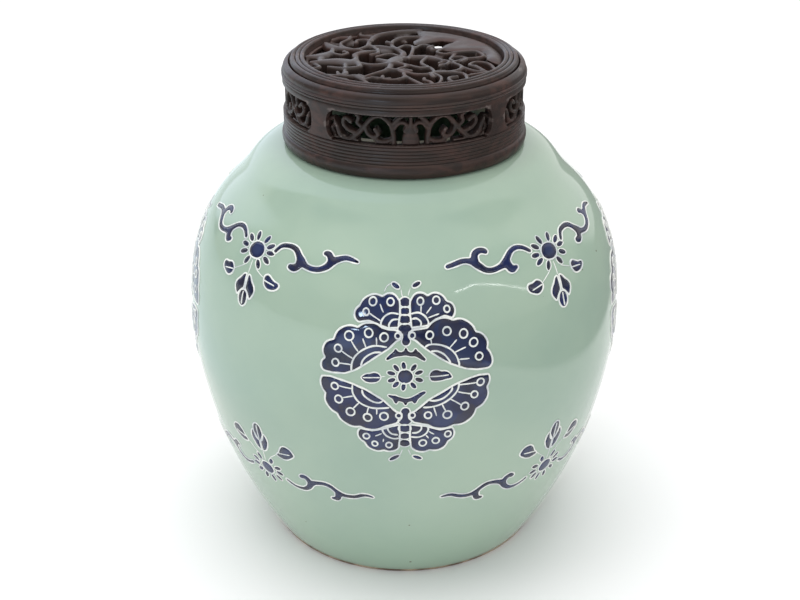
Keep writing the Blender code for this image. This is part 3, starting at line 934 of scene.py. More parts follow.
# --- the vessel --------------------------------------------------------------------
@dataclass
class Vessel:
    """The wheel-thrown jar: foot ring, belly, shoulder, neck and rim."""

    foot_radius: float = 0.0650
    foot_bevel: float = 0.0012
    foot_ring_width: float = 0.0050
    base_recess: float = 0.0030
    belly_radius: float = 0.0995
    belly_height: float = 0.1120
    collar_radius: float = 0.0490
    collar_height: float = 0.1924
    neck_radius: float = 0.0465
    rim_height: float = 0.2062
    wall: float = 0.0048
    floor_height: float = 0.0085
    steps: int = 224

    def belly(self) -> list[Point]:
        """The outside from the foot's bevel to the collar under the cover."""
        middle = (self.belly_radius, self.belly_height)
        lower = [(self.foot_radius, self.foot_bevel), (0.0970, 0.0535), (0.0925, 0.0795),
                 (self.belly_radius, 0.0830), middle]
        upper = [middle, (self.belly_radius, 0.1885), (0.0570, 0.1634),
                 (0.0835, self.collar_height), (self.collar_radius, self.collar_height)]
        return bezier(lower, 60) + bezier(upper, 80)[1:]

    def profile(self) -> list[Point]:
        """The whole section, from the middle of the base round to the middle of the floor."""
        outside = self.belly()
        foot_inner = self.foot_radius - self.foot_bevel - self.foot_ring_width
        fillet = self.collar_radius - self.neck_radius
        lip = 0.5 * self.wall
        throat_radius = self.neck_radius - self.wall
        neck = arc((self.collar_radius, self.collar_height + fillet), fillet, 270, 180, 8)
        rim = arc((self.neck_radius - lip + 0.0003, self.rim_height - lip), lip, 0, 180, 12)
        throat = [(throat_radius, self.rim_height - 0.006), (throat_radius, self.collar_height)]
        floor_top = self.floor_height + 0.006
        inner = [(r, z) for r, z in self.inner_wall(outside) if z > floor_top and r > throat_radius]
        corner = inner[-1][0]
        low = self.floor_height
        sweep = [(corner, floor_top), (corner - 0.003, low), (corner - 0.014, low)]
        floor = bezier(sweep, 8)
        base = [(0.0, self.base_recess), (foot_inner - 0.002, self.base_recess), (foot_inner, 0.0003)]
        foot = [(self.foot_radius - self.foot_bevel, 0.0003)]
        return base + foot + outside + neck[1:] + rim + throat + inner + floor + [(0.0, self.floor_height)]

    def inner_wall(self, outside: list[Point]) -> list[Point]:
        """The outside moved in by the wall's thickness, top to bottom.

        Args:
            outside: The outside, bottom to top.

        Returns:
            Every second point of the inner wall, top to bottom.
        """
        points = np.array(outside)
        along = np.gradient(points, axis=0)
        along /= np.linalg.norm(along, axis=1, keepdims=True)
        moved = points + np.column_stack((-along[:, 1], along[:, 0])) * self.wall
        return [tuple(p) for p in moved[::-2]]

    def build(self, finishes: Finishes) -> None:
        """Throw the jar and its bare foot ring, and dress them."""
        jar = turned("jar_vessel", self.profile(), self.steps)
        finishes.dress(jar, Slot.GLAZE, Body.JAR, "jar_body")
        inner = self.foot_radius - self.foot_bevel - self.foot_ring_width
        outer = self.foot_radius - self.foot_bevel
        ring = [(inner - 0.0004, 0.0010), (inner, 0.0001), (inner + 0.0006, 0.0)]
        ring += arc((outer, 0.0012), 0.0012, 270, 355, 6)
        ring += [(self.foot_radius + 0.0003, 0.0017), (self.foot_radius - 0.0010, 0.0019), (inner, 0.0018)]
        foot = turned("jar_foot_ring", ring, 160)
        finishes.dress(foot, Slot.CLAY, Body.JAR)


@dataclass
class BellySurface:
    """The outside of the vessel, as a place to lay drawings on."""

    vessel: Vessel

    def __post_init__(self) -> None:
        """Measure the curve once."""
        points = np.array(self.vessel.belly())
        steps = np.linalg.norm(np.diff(points, axis=0), axis=1)
        self.length = np.concatenate(([self.vessel.foot_bevel], self.vessel.foot_bevel + np.cumsum(steps)))
        along = np.gradient(points, self.length, axis=0)
        along /= np.linalg.norm(along, axis=1, keepdims=True)
        self.points = points
        self.out = np.column_stack((along[:, 1], -along[:, 0]))

    def wrap(self, piece: Piece, azimuth: float, rise: float, radius: float) -> None:
        """Lay a flat piece on the belly.

        Args:
            piece: The flat piece: x runs round the jar, y up its side and z away from it.
            azimuth: The angle of the piece's middle from the front, in degrees.
            rise: How far up the side, along the curve, its middle lies.
            radius: The radius at which its widths are true.
        """
        flat = read_points(piece)
        at = rise + flat[:, 1]
        spot = [np.interp(at, self.length, self.points[:, axis]) for axis in (0, 1)]
        out = [np.interp(at, self.length, self.out[:, axis]) for axis in (0, 1)]
        r = spot[0] + out[0] * flat[:, 2]
        z = spot[1] + out[1] * flat[:, 2]
        angle = radians(azimuth) + flat[:, 0] / radius
        write_points(piece, np.column_stack((r * np.sin(angle), -r * np.cos(angle), z)))


# --- slip-trailed drawings ---------------------------------------------------------
@dataclass(frozen=True)
class SlipLine:
    """One trailed line: where it runs, whether it closes, its width and its lift."""

    path: np.ndarray
    closed: bool
    width: float
    lift: float = 0.0


@dataclass
class Drawing:
    """A drawing in slip lines and cobalt fields, flat and in millimetres."""

    fields: list[list[np.ndarray]] = field(default_factory=list)
    lines: list[SlipLine] = field(default_factory=list)
    line_width: float = 0.92
    line_height: float = 0.48
    fill_height: float = 0.12
    fill_crown: float = 0.16
    inner_lift: float = 0.22

    def fill(self, *outlines: np.ndarray, width: float = 0.92) -> None:
        """Add a cobalt field, edged by a slip line, over one or more overlapping outlines.

        Args:
            *outlines: The outlines.
            width: The slip line's width.
        """
        loops = outer_loops(outlines, 0.42)
        self.fields.append(loops)
        for loop in loops:
            self.lines.append(SlipLine(loop, True, width))

    def draw(self, points: Sequence[Point], width: float = 0.70, lift: float = 0.22) -> None:
        """Add an open slip line through the points.

        Args:
            points: Where the line passes.
            width: Its width.
            lift: How far it lies above the ground: on a cobalt field, or none on the glaze.
        """
        path = smooth_run([(x, y, 0.0) for x, y in points], 0.5)[:, :2]
        self.lines.append(SlipLine(path, False, width, lift))

    def ring(self, x: float, y: float, radius: float, width: float = 0.80) -> None:
        """Add a slip ring on a cobalt field."""
        outline = ellipse(x, y, radius, radius * 1.06, sides=24)
        self.lines.append(SlipLine(outline, True, width, self.inner_lift))

    def blossom(
        self, x: float, y: float, eye: Point, reach: Point, petals: Sequence[float], petal: Point
    ) -> None:
        """Add a round flower head.

        Args:
            x: Its middle across.
            y: Its middle up.
            eye: Half the width and height of its eye.
            reach: How far the petals' middles lie from its own, across and up.
            petals: The petals' angles, in degrees.
            petal: Half a petal's length and width.
        """
        self.fill(ellipse(x, y, *eye), width=0.70)
        for angle in petals:
            a = radians(angle)
            at = (x + reach[0] * cos(a), y + reach[1] * sin(a))
            self.fill(ellipse(*at, *petal, angle, 20), width=0.52)

    def make(self, name: str) -> tuple[Piece, Piece]:
        """Make the drawing's flat pieces, in metres.

        Args:
            name: The first part of the pieces' names.

        Returns:
            The slip lines and the cobalt fields, each one piece.
        """
        return self.make_slip(name + "_slip"), self.make_cobalt(name + "_cobalt")

    def make_slip(self, name: str) -> Piece:
        """The slip lines, as low round beads that swell and thin a little, as a trailer leaves them."""
        bpy.ops.object.select_all(action="DESELECT")
        bpy.ops.curve.primitive_bezier_curve_add(location=(0.0, 0.0, 0.0))
        made = bpy.context.object
        made.name = made.data.name = name
        curve = made.data
        curve.splines.clear()
        curve.dimensions = "3D"
        curve.twist_mode = "Z_UP"
        curve.bevel_depth = 0.5 * MILLIMETRE
        curve.bevel_resolution = 2
        curve.use_fill_caps = True
        stretch = self.line_height / (0.5 * self.line_width)
        for number, line in enumerate(self.lines):
            count = len(line.path)
            spline = curve.splines.new("POLY")
            spline.points.add(count - 1)
            spline.use_cyclic_u = line.closed
            at = np.arange(count) / count * (2 * pi)
            laps = max(1, round(count / 22))
            swell = 1.0 + 0.07 * np.sin(laps * at + 1.7 * number)
            swell = swell + 0.05 * np.sin((laps * 2 + 1) * at + number)
            if not line.closed:
                ends = np.minimum(np.arange(count), np.arange(count)[::-1]) / 2.0
                swell = swell * np.clip(0.55 + 0.45 * ends, 0.0, 1.0)
            wander = 0.05 * np.sin(laps * at + 2.3 * number)[:, None]
            heights = np.full(count, line.lift / stretch)
            places = np.column_stack((line.path + wander, heights, np.zeros(count))) * MILLIMETRE
            places[:, 3] = 1.0
            spline.points.foreach_set("co", places.ravel())
            spline.points.foreach_set("radius", swell * line.width)
        bpy.ops.object.convert(target="MESH")
        made = bpy.context.object
        points = read_points(made)
        points[:, 2] *= stretch
        write_points(made, points)
        face_outwards(made, 1e-6)
        bpy.ops.object.shade_smooth()
        return made

    def make_cobalt(self, name: str) -> Piece:
        """The cobalt fields, as low pillows that meet the middles of their slip lines."""

        def front(points: np.ndarray, depth: np.ndarray) -> np.ndarray:
            """The fired glaze's rise away from the slip line."""
            return self.fill_height + self.fill_crown * (1.0 - np.exp(-((depth / 0.9) ** 2)))

        parts = [
            pillow(f"{name}_{i}", loops, 1.0, front, 0.05, -0.25)
            for i, loops in enumerate(self.fields)
        ]
        bpy.ops.object.select_all(action="DESELECT")
        for part in parts:
            part.select_set(True)
        bpy.context.view_layer.objects.active = parts[0]
        bpy.ops.object.join()
        made = bpy.context.object
        made.name = made.data.name = name
        write_points(made, read_points(made) * MILLIMETRE)
        depths = np.empty(len(made.data.vertices))
        made.data.attributes["depth"].data.foreach_get("value", depths)
        made.data.attributes["depth"].data.foreach_set("value", depths * MILLIMETRE)
        return made


@dataclass
class Wing:
    """One wing of a butterfly: its lobed field, and the slip eyes, ribs and arcs over it."""

    outline: Sequence[Triple]
    eyes: Sequence[Triple]
    ribs: Sequence[tuple[Point, Point]]
    arcs: Sequence[Sequence[Point]]

    def put(self, drawing: Drawing) -> None:
        """Draw the wing."""
        drawing.fill(lobed(self.outline))
        for x, y, radius in self.eyes:
            drawing.ring(x, y, radius)
        for start, end in self.ribs:
            drawing.draw([start, end], 0.66)
        for points in self.arcs:
            drawing.draw(points, 0.84)


FOREWINGS = (
    Wing(
        [(-1.6, 19.6, 0), (-4.2, 20.6, 0), (-7, 20.8, 0), (-9.7, 21.5, 0.4), (-20, 20.9, 0.5),
         (-30.1, 14.8, 0.62), (-33.5, 6.3, 0.55), (-34.2, 0.5, 0), (-30, 0.1, 0), (-25, 0.5, 0),
         (-20.4, 2.6, 0), (-18.3, 4.1, 0), (-10.4, 10.1, 0), (-6.6, 12.8, 0), (-3.6, 15.9, 0),
         (-1.6, 17, 0)],
        [(-23.5, 17.1, 1.85), (-15.2, 19, 1.75), (-8.7, 17.5, 1.65), (-28, 11.2, 1.55), (-29, 4.9, 1.5)],
        [((-22.6, 15), (-19.4, 10.7)), ((-17.6, 16.5), (-16.2, 12.6)), ((-12, 17.3), (-11.7, 14)),
         ((-26.5, 10.2), (-21.5, 7.4)), ((-27.5, 4.9), (-22.2, 4.7))],
        [[(-22.2, 1.8), (-22.1, 5), (-20.9, 8.2), (-18.6, 10.8), (-15.6, 12.7), (-12, 13.8), (-7.4, 13.4)],
         [(-18.2, 4.4), (-17.5, 7), (-15.5, 9.3), (-12.7, 10.8), (-9.8, 11)]],
    ),
    Wing(
        [(1.7, 19.7, 0), (3.8, 20.8, 0), (6.2, 20.9, 0), (9.5, 21.4, 0.4), (20.5, 23.9, 0.42),
         (30.1, 17.8, 0.5), (34.7, 10, 0.22), (37.1, 4, 0.3), (35.2, 1.3, 0), (30, 1.4, 0), (26, 2.2, 0),
         (21.4, 4.3, 0), (18.7, 5.4, 0), (10.5, 11, 0), (4.2, 16.3, 0), (1.7, 17.2, 0)],
        [(10.3, 18.3, 1.5), (17.6, 19.5, 1.7), (24.7, 17.8, 1.75), (28.9, 13.6, 1.7), (31.1, 7.2, 1.6)],
        [((10.6, 16.7), (11.1, 14.6)), ((18.6, 12.4), (21.6, 15.5)), ((20.5, 10.2), (25.5, 12)),
         ((22.4, 6.9), (26.9, 6.9))],
        [[(22.4, 3.9), (22.4, 5.6), (21.4, 8.6), (19.4, 11.2), (16.8, 13.1), (13.8, 14.2), (10, 14.3),
         (8.2, 13.2)], [(18.9, 5.3), (18.3, 7), (16, 9.8), (13.2, 11.4), (10.6, 11.4)]],
    ),
    Wing(
        [(-1.4, -18.9, 0), (-1.4, -16.6, 0), (-3.4, -16, 0), (-5.5, -14, 0), (-10, -9.6, 0),
         (-16.8, -5.7, 0), (-20.7, -4.2, 0), (-27, -2.5, 0), (-31, -1.7, 0), (-35, -2.1, 0.32),
         (-33.4, -9.9, 0.42), (-28.5, -18.9, 0.42), (-18.8, -24.2, 0.3), (-9, -23.6, 0), (-3.5, -21.6, 0)],
        [(-29.3, -5.9, 1.5), (-27.7, -11.8, 1.65), (-22.7, -17.2, 1.75), (-15.5, -19.2, 1.75),
         (-8.7, -18.2, 1.7)],
        [((-27.5, -5.5), (-21.7, -6.2)), ((-26, -10.9), (-21.4, -9.5)), ((-21.7, -15.6), (-18.9, -12.3)),
         ((-15.8, -17.5), (-15.1, -14.2)), ((-11.7, -17.4), (-11.7, -14.6))],
        [[(-21.8, -4.4), (-21.6, -8), (-19.2, -11.9), (-15.7, -13.9), (-12, -14.4), (-6.4, -13.9)],
         [(-17.7, -6.1), (-17, -8.5), (-14, -11), (-11.2, -11.8), (-9.2, -11)]],
    ),
    Wing(
        [(1.6, -18.8, 0), (1.6, -16.6, 0), (3.8, -15.9, 0), (7.5, -12.5, 0), (10, -10.2, 0), (19, -5, 0),
         (22.7, -3.3, 0), (27, -2, 0), (31, -1.2, 0), (35.2, -1.4, 0.3), (34.6, -7.2, 0.45),
         (30, -16.9, 0.42), (20.5, -23.7, 0.32), (9.5, -22.6, 0), (3.5, -21.2, 0)],
        [(31.6, -4.5, 1.5), (29, -9.9, 1.5), (24.9, -14.9, 1.6), (17.6, -18.1, 1.75), (9.5, -17.7, 1.5)],
        [((22.4, -4.5), (30, -4.5)), ((21.9, -7.6), (27.7, -9.6)), ((18.6, -10.6), (23.6, -14.2)),
         ((15.2, -12.8), (17, -16.4)), ((11.9, -13.9), (13, -18.4))],
        [[(22.5, -3.5), (21.6, -7), (19.1, -10.1), (15.2, -12.6), (11.3, -13.7), (7.4, -13.8)],
         [(19.5, -5.1), (19, -7), (16, -9.8), (12.5, -10.9), (9.8, -10.6)]],
    ),
)

HINDWINGS = (
    Wing(
        [(-2.2, 32.4, 0), (-3.6, 34.3, 0.42), (-9.8, 34.2, 0.46), (-19.7, 29.9, 0.62), (-19.8, 23.2, 0),
         (-15.3, 24, 0), (-9.8, 22.2, 0), (-7, 21.3, 0), (-2.8, 21.6, 0), (-2.2, 26.5, 0)],
        [(-14, 32, 1.6), (-6.3, 32.1, 1.5), (-16.7, 27.6, 1.35)],
        [((-10.9, 31), (-9.2, 27.7)), ((-15.2, 27.2), (-10.3, 24.1))],
        [[(-2.6, 27.2), (-6, 27.5), (-8.8, 26), (-10.1, 23.6), (-9.9, 22.2)], [(-3, 25), (-5.2, 24.8),
         (-6.7, 23), (-6.6, 21.4)]],
    ),
    Wing(
        [(2.2, 32.4, 0), (3.6, 34.6, 0.42), (10, 34.4, 0.5), (18.3, 31.8, 0.62), (20.4, 24.7, 0),
         (17, 25.9, 0), (13, 24.6, 0), (9.4, 22.2, 0), (2.8, 21.6, 0), (2.2, 26.5, 0)],
        [(6.7, 32.3, 1.4), (13.7, 32.4, 1.5), (18.1, 28.6, 1.3)],
        [((6.9, 30.7), (6.9, 27.8)), ((9.1, 27.2), (11.4, 29.8)), ((9.9, 25.5), (14.7, 26.9))],
        [[(2.4, 27.2), (5.8, 27.7), (8.6, 26.2), (9.9, 23.8), (9.6, 22.2)], [(3, 25.2), (5, 25.4),
         (6.7, 23.8), (6.5, 21.8)]],
    ),
    Wing(
        [(-2.4, -22.2, 0), (-8.8, -24.4, 0), (-14, -26, 0), (-18.8, -25, 0.55), (-17.1, -32.3, 0.5),
         (-9, -36, 0.42), (-2.5, -34.3, 0), (-2.2, -28, 0)],
        [(-16.3, -28.9, 1.3), (-12.8, -32.6, 1.25), (-6.8, -33, 1.3)],
        [((-9.7, -27), (-12.6, -28.6)), ((-9, -29.8), (-9.3, -31.4))],
        [[(-9.6, -24.2), (-9.2, -26.2), (-7.6, -28.2), (-4.8, -29.4), (-2.5, -29.2)], [(-7.2, -23.7),
         (-7.1, -24.9), (-5.6, -26.9), (-3, -27.5)]],
    ),
    Wing(
        [(2.3, -22.1, 0), (9, -23.4, 0), (15, -25.6, 0), (19.8, -24.8, 0.5), (18.3, -32, 0.5),
         (10.5, -36, 0.42), (2.6, -34.3, 0), (2, -28, 0)],
        [(7.5, -31.9, 1.5), (13, -31, 1.5), (18.1, -28, 1.35)],
        [((9.9, -25.9), (12.2, -27.6)), ((8.8, -27.8), (9.9, -29.6))],
        [[(9.3, -23.5), (9.7, -25), (8.6, -27.2), (6, -28.6), (2.4, -28.5)], [(6.7, -23), (6.8, -24.6),
         (5.2, -26.2), (2.8, -26.5)]],
    ),
)

FOUR_SIDES = ("front", "right", "back", "left")


@dataclass
class Medallion:
    """Two butterflies nose to nose round a flower, on each of the jar's four sides."""

    rise: float = 0.13045
    radius: float = 0.0991
    turn: float = 0.2

    def drawing(self) -> Drawing:
        """The whole medallion, flat."""
        drawing = Drawing()
        for wing in FOREWINGS + HINDWINGS:
            wing.put(drawing)
        self.draw_bodies(drawing)
        self.draw_middle(drawing)
        return drawing

    def draw_bodies(self, drawing: Drawing) -> None:
        """The two jointed bodies, their eyes and their feelers."""
        joints = [(0.0, 32.0, 2.5, 2.15), (0.0, 28.4, 2.4, 1.75), (0.0, 25.0, 2.8, 2.05),
                  (-0.1, -24.3, 2.8, 2.1), (-0.1, -28.2, 2.4, 1.8), (-0.1, -32.0, 2.5, 2.1)]
        for x, y, rx, ry in joints:
            drawing.fill(ellipse(x, y, rx, ry), width=0.62)
        upper = ellipse(0.0, 21.1, 3.1, 2.25), ellipse(0.2, 18.2, 1.25, 2.0), ellipse(0.4, 15.9, 1.9, 2.0)
        lower = ellipse(-0.1, -20.3, 2.9, 2.3), ellipse(0.1, -17.6, 1.3, 2.0), ellipse(0.2, -15.8, 2.0, 2.0)
        drawing.fill(*upper, width=0.62)
        drawing.fill(*lower, width=0.62)
        for x, y in [(-3.0, 18.2), (3.0, 18.4), (-2.6, -17.7), (3.0, -17.5)]:
            drawing.ring(x, y, 1.2, 0.72)
        feelers = [(-4.2, 38.7, -32, 2.3), (5.2, 39.1, 25, 2.4),
                   (-4.6, -40.2, 36, 3.0), (5.3, -40.1, -28, 2.5)]
        for x, y, tilt, half in feelers:
            drawing.fill(ellipse(x, y, half, 1.15, tilt), width=0.66)
            lift = 1.0 if y > 0 else -1.0
            drawing.draw([(0.25 * x, y - 4.6 * lift), (0.45 * x, y - 1.6 * lift)], 0.5, 0.0)
        drawing.draw([(-9.3, 36.0), (-8.2, 38.2), (-6.4, 39.6)], 0.5, 0.0)

    def draw_middle(self, drawing: Drawing) -> None:
        """The flower, its two leaves and the small bats above and below it."""
        petals = [96, 55, 21, -19, -57, -97, -130, -159, 163, 128]
        drawing.blossom(0.1, 0.6, (3.35, 3.3), (6.0, 4.8), petals, (2.0, 1.15))
        above = [
            [(-7.4, 8.1, 0.45), (-5.6, 9.6, 0.8), (-3.8, 10.5, 1.1), (-1.6, 10.4, 0.75), (0.4, 10.9, 1.0),
             (2.4, 10.3, 0.75), (4.6, 10.6, 1.1), (6.3, 9.4, 0.9), (7.9, 7.9, 0.6)],
            [(-3.8, 10.6, 0.8), (-3.9, 12.3, 0.4)],
            [(0.4, 11.0, 0.8), (0.4, 12.9, 0.35)],
            [(4.5, 10.7, 0.8), (4.3, 12.2, 0.45)],
        ]
        below = [
            [(-6.6, -8.2, 0.35), (-4.6, -9.1, 0.7), (-2.4, -9.8, 0.8), (0.1, -10.4, 0.8), (2.6, -10.0, 0.8),
             (4.8, -9.0, 0.9), (6.4, -7.8, 0.8), (8.0, -6.8, 0.55)],
            [(-4.2, -9.2, 1.0), (-3.7, -11.4, 0.6)],
            [(0.2, -10.4, 0.8), (0.2, -12.3, 0.45)],
            [(4.4, -9.2, 1.0), (4.0, -11.3, 0.6)],
        ]
        for bat in (above, below):
            drawing.fill(*[cell for stroke in bat for cell in stroke_cells(stroke, 0.28)], width=0.5)
        left_leaf = [(-18.4, -0.7, 0.1), (-16.3, 1.2, 0.1), (-14.2, 1.6, 0.4), (-10.4, 1.2, 0.3),
                     (-10.2, -1.2, 0.2), (-12.4, -2.6, 0.1), (-16.2, -2.6, 0.1)]
        drawing.fill(lobed(left_leaf), width=0.62)
        drawing.draw([(-17.4, -0.5), (-10.3, -0.1)], 0.55)
        right_leaf = [(19.8, -0.9, 0.1), (18.4, 1.4, 0.3), (15.0, 2.5, 0.35), (11.0, 2.8, 0.3),
                      (9.9, 0.4, 0.1), (10.6, -1.6, 0.15), (13.6, -2.1, 0.1), (17.0, -1.4, 0.1)]
        drawing.fill(lobed(right_leaf), width=0.62)
        drawing.draw([(10.2, 0.3), (18.0, 0.5)], 0.55)
        drawing.draw([(-9.9, 0.3), (-8.1, 0.4)], 0.4, 0.0)
        drawing.draw([(9.7, 0.4), (8.1, 0.6)], 0.4, 0.0)

    def build(self, surface: BellySurface, finishes: Finishes) -> None:
        """Lay the medallion on the four sides."""
        angles = [self.turn + 90.0 * i for i in range(4)]
        lay_round(self.drawing(), "medallion", FOUR_SIDES, angles, self.rise, self.radius, surface, finishes)


def lay_round(
    drawing: Drawing,
    name: str,
    sides: Sequence[str],
    angles: Sequence[float],
    rise: float,
    radius: float,
    surface: BellySurface,
    finishes: Finishes,
) -> None:
    """Make a drawing once and lay a copy of it on each side of the jar.

    Args:
        drawing: The flat drawing.
        name: The first part of the pieces' names.
        sides: The sides' names.
        angles: Their angles from the front, in degrees.
        rise: How far up the side, along the curve, the drawing's middle lies.
        radius: The radius at which its widths are true.
        surface: The jar's outside.
        finishes: Every finish.
    """
    slip, cobalt = drawing.make(name)
    for flat, slot in ((slip, Slot.SLIP), (cobalt, Slot.COBALT)):
        for side, angle in zip(sides, angles):
            piece = copied(flat, f"{flat.name}_{side}")
            surface.wrap(piece, angle, rise, radius)
            finishes.dress(piece, slot, Body.JAR)
        bpy.data.objects.remove(flat, do_unlink=True)


FOUR_CORNERS = ("front_right", "back_right", "back_left", "front_left")


@dataclass
class Spray:
    """A flower with a scroll to each side and three leaves, on each of the jar's corners."""

    name: str
    angles: Sequence[float]
    rise: float
    radius: float
    eye: Point
    reach: Point
    petals: Sequence[float]
    petal: Point
    scrolls: Sequence[Sequence[Stroke]]
    big_leaf: Sequence[Triple]
    tip_leaf: tuple[float, float, float, float]
    small_leaves: Sequence[Sequence[Triple]]
    midribs: Sequence[tuple[Point, Point]]
    stems: Sequence[Sequence[Point]]

    def drawing(self) -> Drawing:
        """The whole spray, flat."""
        drawing = Drawing()
        drawing.blossom(0.0, 0.0, self.eye, self.reach, self.petals, self.petal)
        for strokes in self.scrolls:
            drawing.fill(*[cell for stroke in strokes for cell in stroke_cells(stroke, 0.42)], width=0.70)
        for side in (-1.0, 1.0):
            drawing.fill(lobed(mirrored(self.big_leaf, side)), width=0.76)
        x, y, rx, ry = self.tip_leaf
        drawing.fill(ellipse(x, y, ry, rx, 90.0), width=0.76)
        for outline in self.small_leaves:
            drawing.fill(lobed(outline), width=0.76)
        for start, end in self.midribs:
            drawing.draw([start, end], 0.62)
        for points in self.stems:
            drawing.draw(points, 0.42, 0.0)
        return drawing

    def build(self, surface: BellySurface, finishes: Finishes) -> None:
        """Lay the spray on the four corners."""
        drawing = self.drawing()
        lay_round(drawing, self.name, FOUR_CORNERS, self.angles, self.rise, self.radius, surface, finishes)


UPPER_SPRAY = Spray(
    name="upper_spray",
    angles=(44.6, 135, 225, -45.6),
    rise=0.173,
    radius=0.0801,
    eye=(4.3, 3.8),
    reach=(7.4, 6.1),
    petals=[110, 67, 33, 6, -27, -63, -114, -152, 178, 143],
    petal=(2.35, 1.27),
    scrolls=[
        [
            [(9.3, 2.3, 0.65), (11.4, 5.3, 0.8), (15.5, 6.3, 0.85), (18.5, 5.5, 0.95), (20.6, 3.4, 1.2),
             (22.5, 1.4, 1.5), (25, -0.3, 0.95), (28, -0.8, 0.9), (31, -0.3, 0.95), (33.5, 1.2, 1.2),
             (35.3, 3.5, 1.4), (37.5, 5, 1.1), (40.5, 6, 0.9), (43.3, 5.5, 0.65), (45.6, 4.9, 0.35)],
            [(21.8, 1.5, 1.4), (21.7, -0.8, 1.3), (20.2, -2.1, 1.4), (18.6, -2.1, 1.15)],
            [(34.9, 3.5, 1.3), (34.1, 5.4, 1.15), (32.9, 6.7, 1.05), (31.9, 6.7, 0.9)],
        ],
        [
            [(-9.3, 2.9, 0.65), (-11.8, 5.1, 0.75), (-14.9, 5.9, 0.85), (-17.9, 5.1, 0.9),
             (-20.3, 2.9, 1.1), (-22.2, 0.8, 1.4), (-24.9, -0.4, 1), (-28.3, -0.9, 0.95), (-31, -0.2, 1.05),
             (-33.3, 1.8, 1.35), (-35.3, 3.8, 1.2), (-37.4, 4.6, 0.95), (-39.6, 4.7, 0.9),
             (-42.4, 3.9, 0.85), (-45.6, 3.1, 0.7)],
            [(-21.3, 1.3, 1.5), (-20.6, -1.2, 1.5), (-19.6, -2.2, 1.45), (-18, -1.9, 0.8)],
            [(-34.2, 3.9, 1.25), (-33.9, 6.6, 1.25), (-31.8, 8.1, 1.1), (-29.6, 7.8, 1), (-29, 7.2, 0.9)],
        ],
    ],
    big_leaf=[(0.38, -10.8, 0.1), (1.9, -11.2, 0), (3.3, -13.5, 0.12), (5, -16, 0.2), (4.8, -18.8, 0.1),
        (3.3, -21.2, 0), (1.7, -18.4, 0), (0.38, -17.2, 0)],
    tip_leaf=(0, -21.4, 2.35, 3.7),
    small_leaves=[
        [(8.3, -8.9, 0.2), (10, -7.7, 0.1), (11.9, -8.9, 0), (13.4, -9.9, 0.1), (15.6, -10.4, 0.3),
         (15.9, -11.9, 0.1), (14.4, -13.4, 0.1), (11.7, -14.1, 0.2), (9.2, -13, 0.1), (8.4, -11.1, 0)],
        [(-8.4, -11.5, 0.1), (-9.3, -10.1, 0.2), (-11, -9.3, 0.1), (-12.7, -10.1, 0.1), (-14.6, -10.1, 0.3),
         (-15.6, -12, 0.2), (-14.8, -13.8, 0.1), (-13.1, -14.8, 0.1), (-11.2, -15.5, 0.2),
         (-8.8, -14, 0.2)],
    ],
    midribs=[((8.7, -10.6), (13.9, -11.7)), ((-8.6, -12), (-13.6, -13.1)), ((0, -18.6), (0, -24.2))],
    stems=[[(0, -4.6), (0, -10.6)], [(3, -7.6), (7.8, -9.8)], [(-3.2, -7.8), (-8.2, -11.4)]],
)

# One scroll and one small leaf of the lower spray, to be mirrored.
LOWER_SCROLL: list[Stroke] = [
    [(11.1, -2.6, 0.55), (13.4, -3.9, 0.6), (15.9, -4.8, 0.65), (19.2, -4.8, 0.8), (21.3, -3.9, 0.95),
     (23, -2.3, 1.1), (24.3, 0, 1.3), (25.9, 1.3, 1.15), (28.4, 2.1, 0.95), (31.3, 2.5, 0.95),
     (33.8, 1.7, 1), (35.9, 0, 1), (37.6, -1.7, 1.3), (39.6, -2.5, 1), (42.5, -2.7, 0.9),
     (45.5, -2.1, 0.85), (48, -0.8, 0.8), (50.5, -0.6, 0.65), (53, -1.3, 0.35)],
    [(23.9, 1, 1.2), (23, 2.9, 1.2), (21.3, 3.8, 1.1), (20, 3.1, 0.9)],
    [(37.1, -2.5, 1.2), (36.9, -4.6, 1.2), (35.9, -5.8, 1.1), (34.2, -6, 0.7)],
]
LOWER_LEAF: Stroke = [
    (8.4, 11.9, 0.1), (10.4, 14.2, 0.1), (11.3, 16.5, 0.15), (13, 18.7, 0.2), (15.5, 18.8, 0.2),
    (17.8, 17.1, 0.2), (18.4, 14.6, 0.1), (16.3, 12.5, 0.1), (14.2, 11.1, 0.2), (11.3, 10.8, 0.1),
]

LOWER_SPRAY = Spray(
    name="lower_spray",
    angles=(43.55, 136.5, 223.5, -41.9),
    rise=0.0662,
    radius=0.0911,
    eye=(3.9, 3.6),
    reach=(7.3, 6.2),
    petals=[118, 157, 186, 217, 249, 284, 322, 356, 23, 60],
    petal=(2.35, 1.25),
    scrolls=[[mirrored(stroke, side) for stroke in LOWER_SCROLL] for side in (-1, 1)],
    big_leaf=[(0.38, 10.3, 0.1), (2.8, 11.8, 0.1), (4.7, 16.4, 0.15), (4.2, 20.4, 0.1), (3.2, 21.7, 0),
        (1.6, 18.6, 0), (0.38, 16.4, 0)],
    tip_leaf=(0, 21.3, 2.7, 5.1),
    small_leaves=[mirrored(LOWER_LEAF, side) for side in (-1, 1)],
    midribs=[((-16.3, 14.8), (-10, 13.6)), ((16.3, 14.8), (10, 13.6)), ((0, 17.4), (0, 25.4))],
    stems=[[(0, 4.4), (0, 10.2)], [(3.4, 7.4), (8.2, 11.7)], [(-3.4, 7.4), (-8.2, 11.7)]],
)


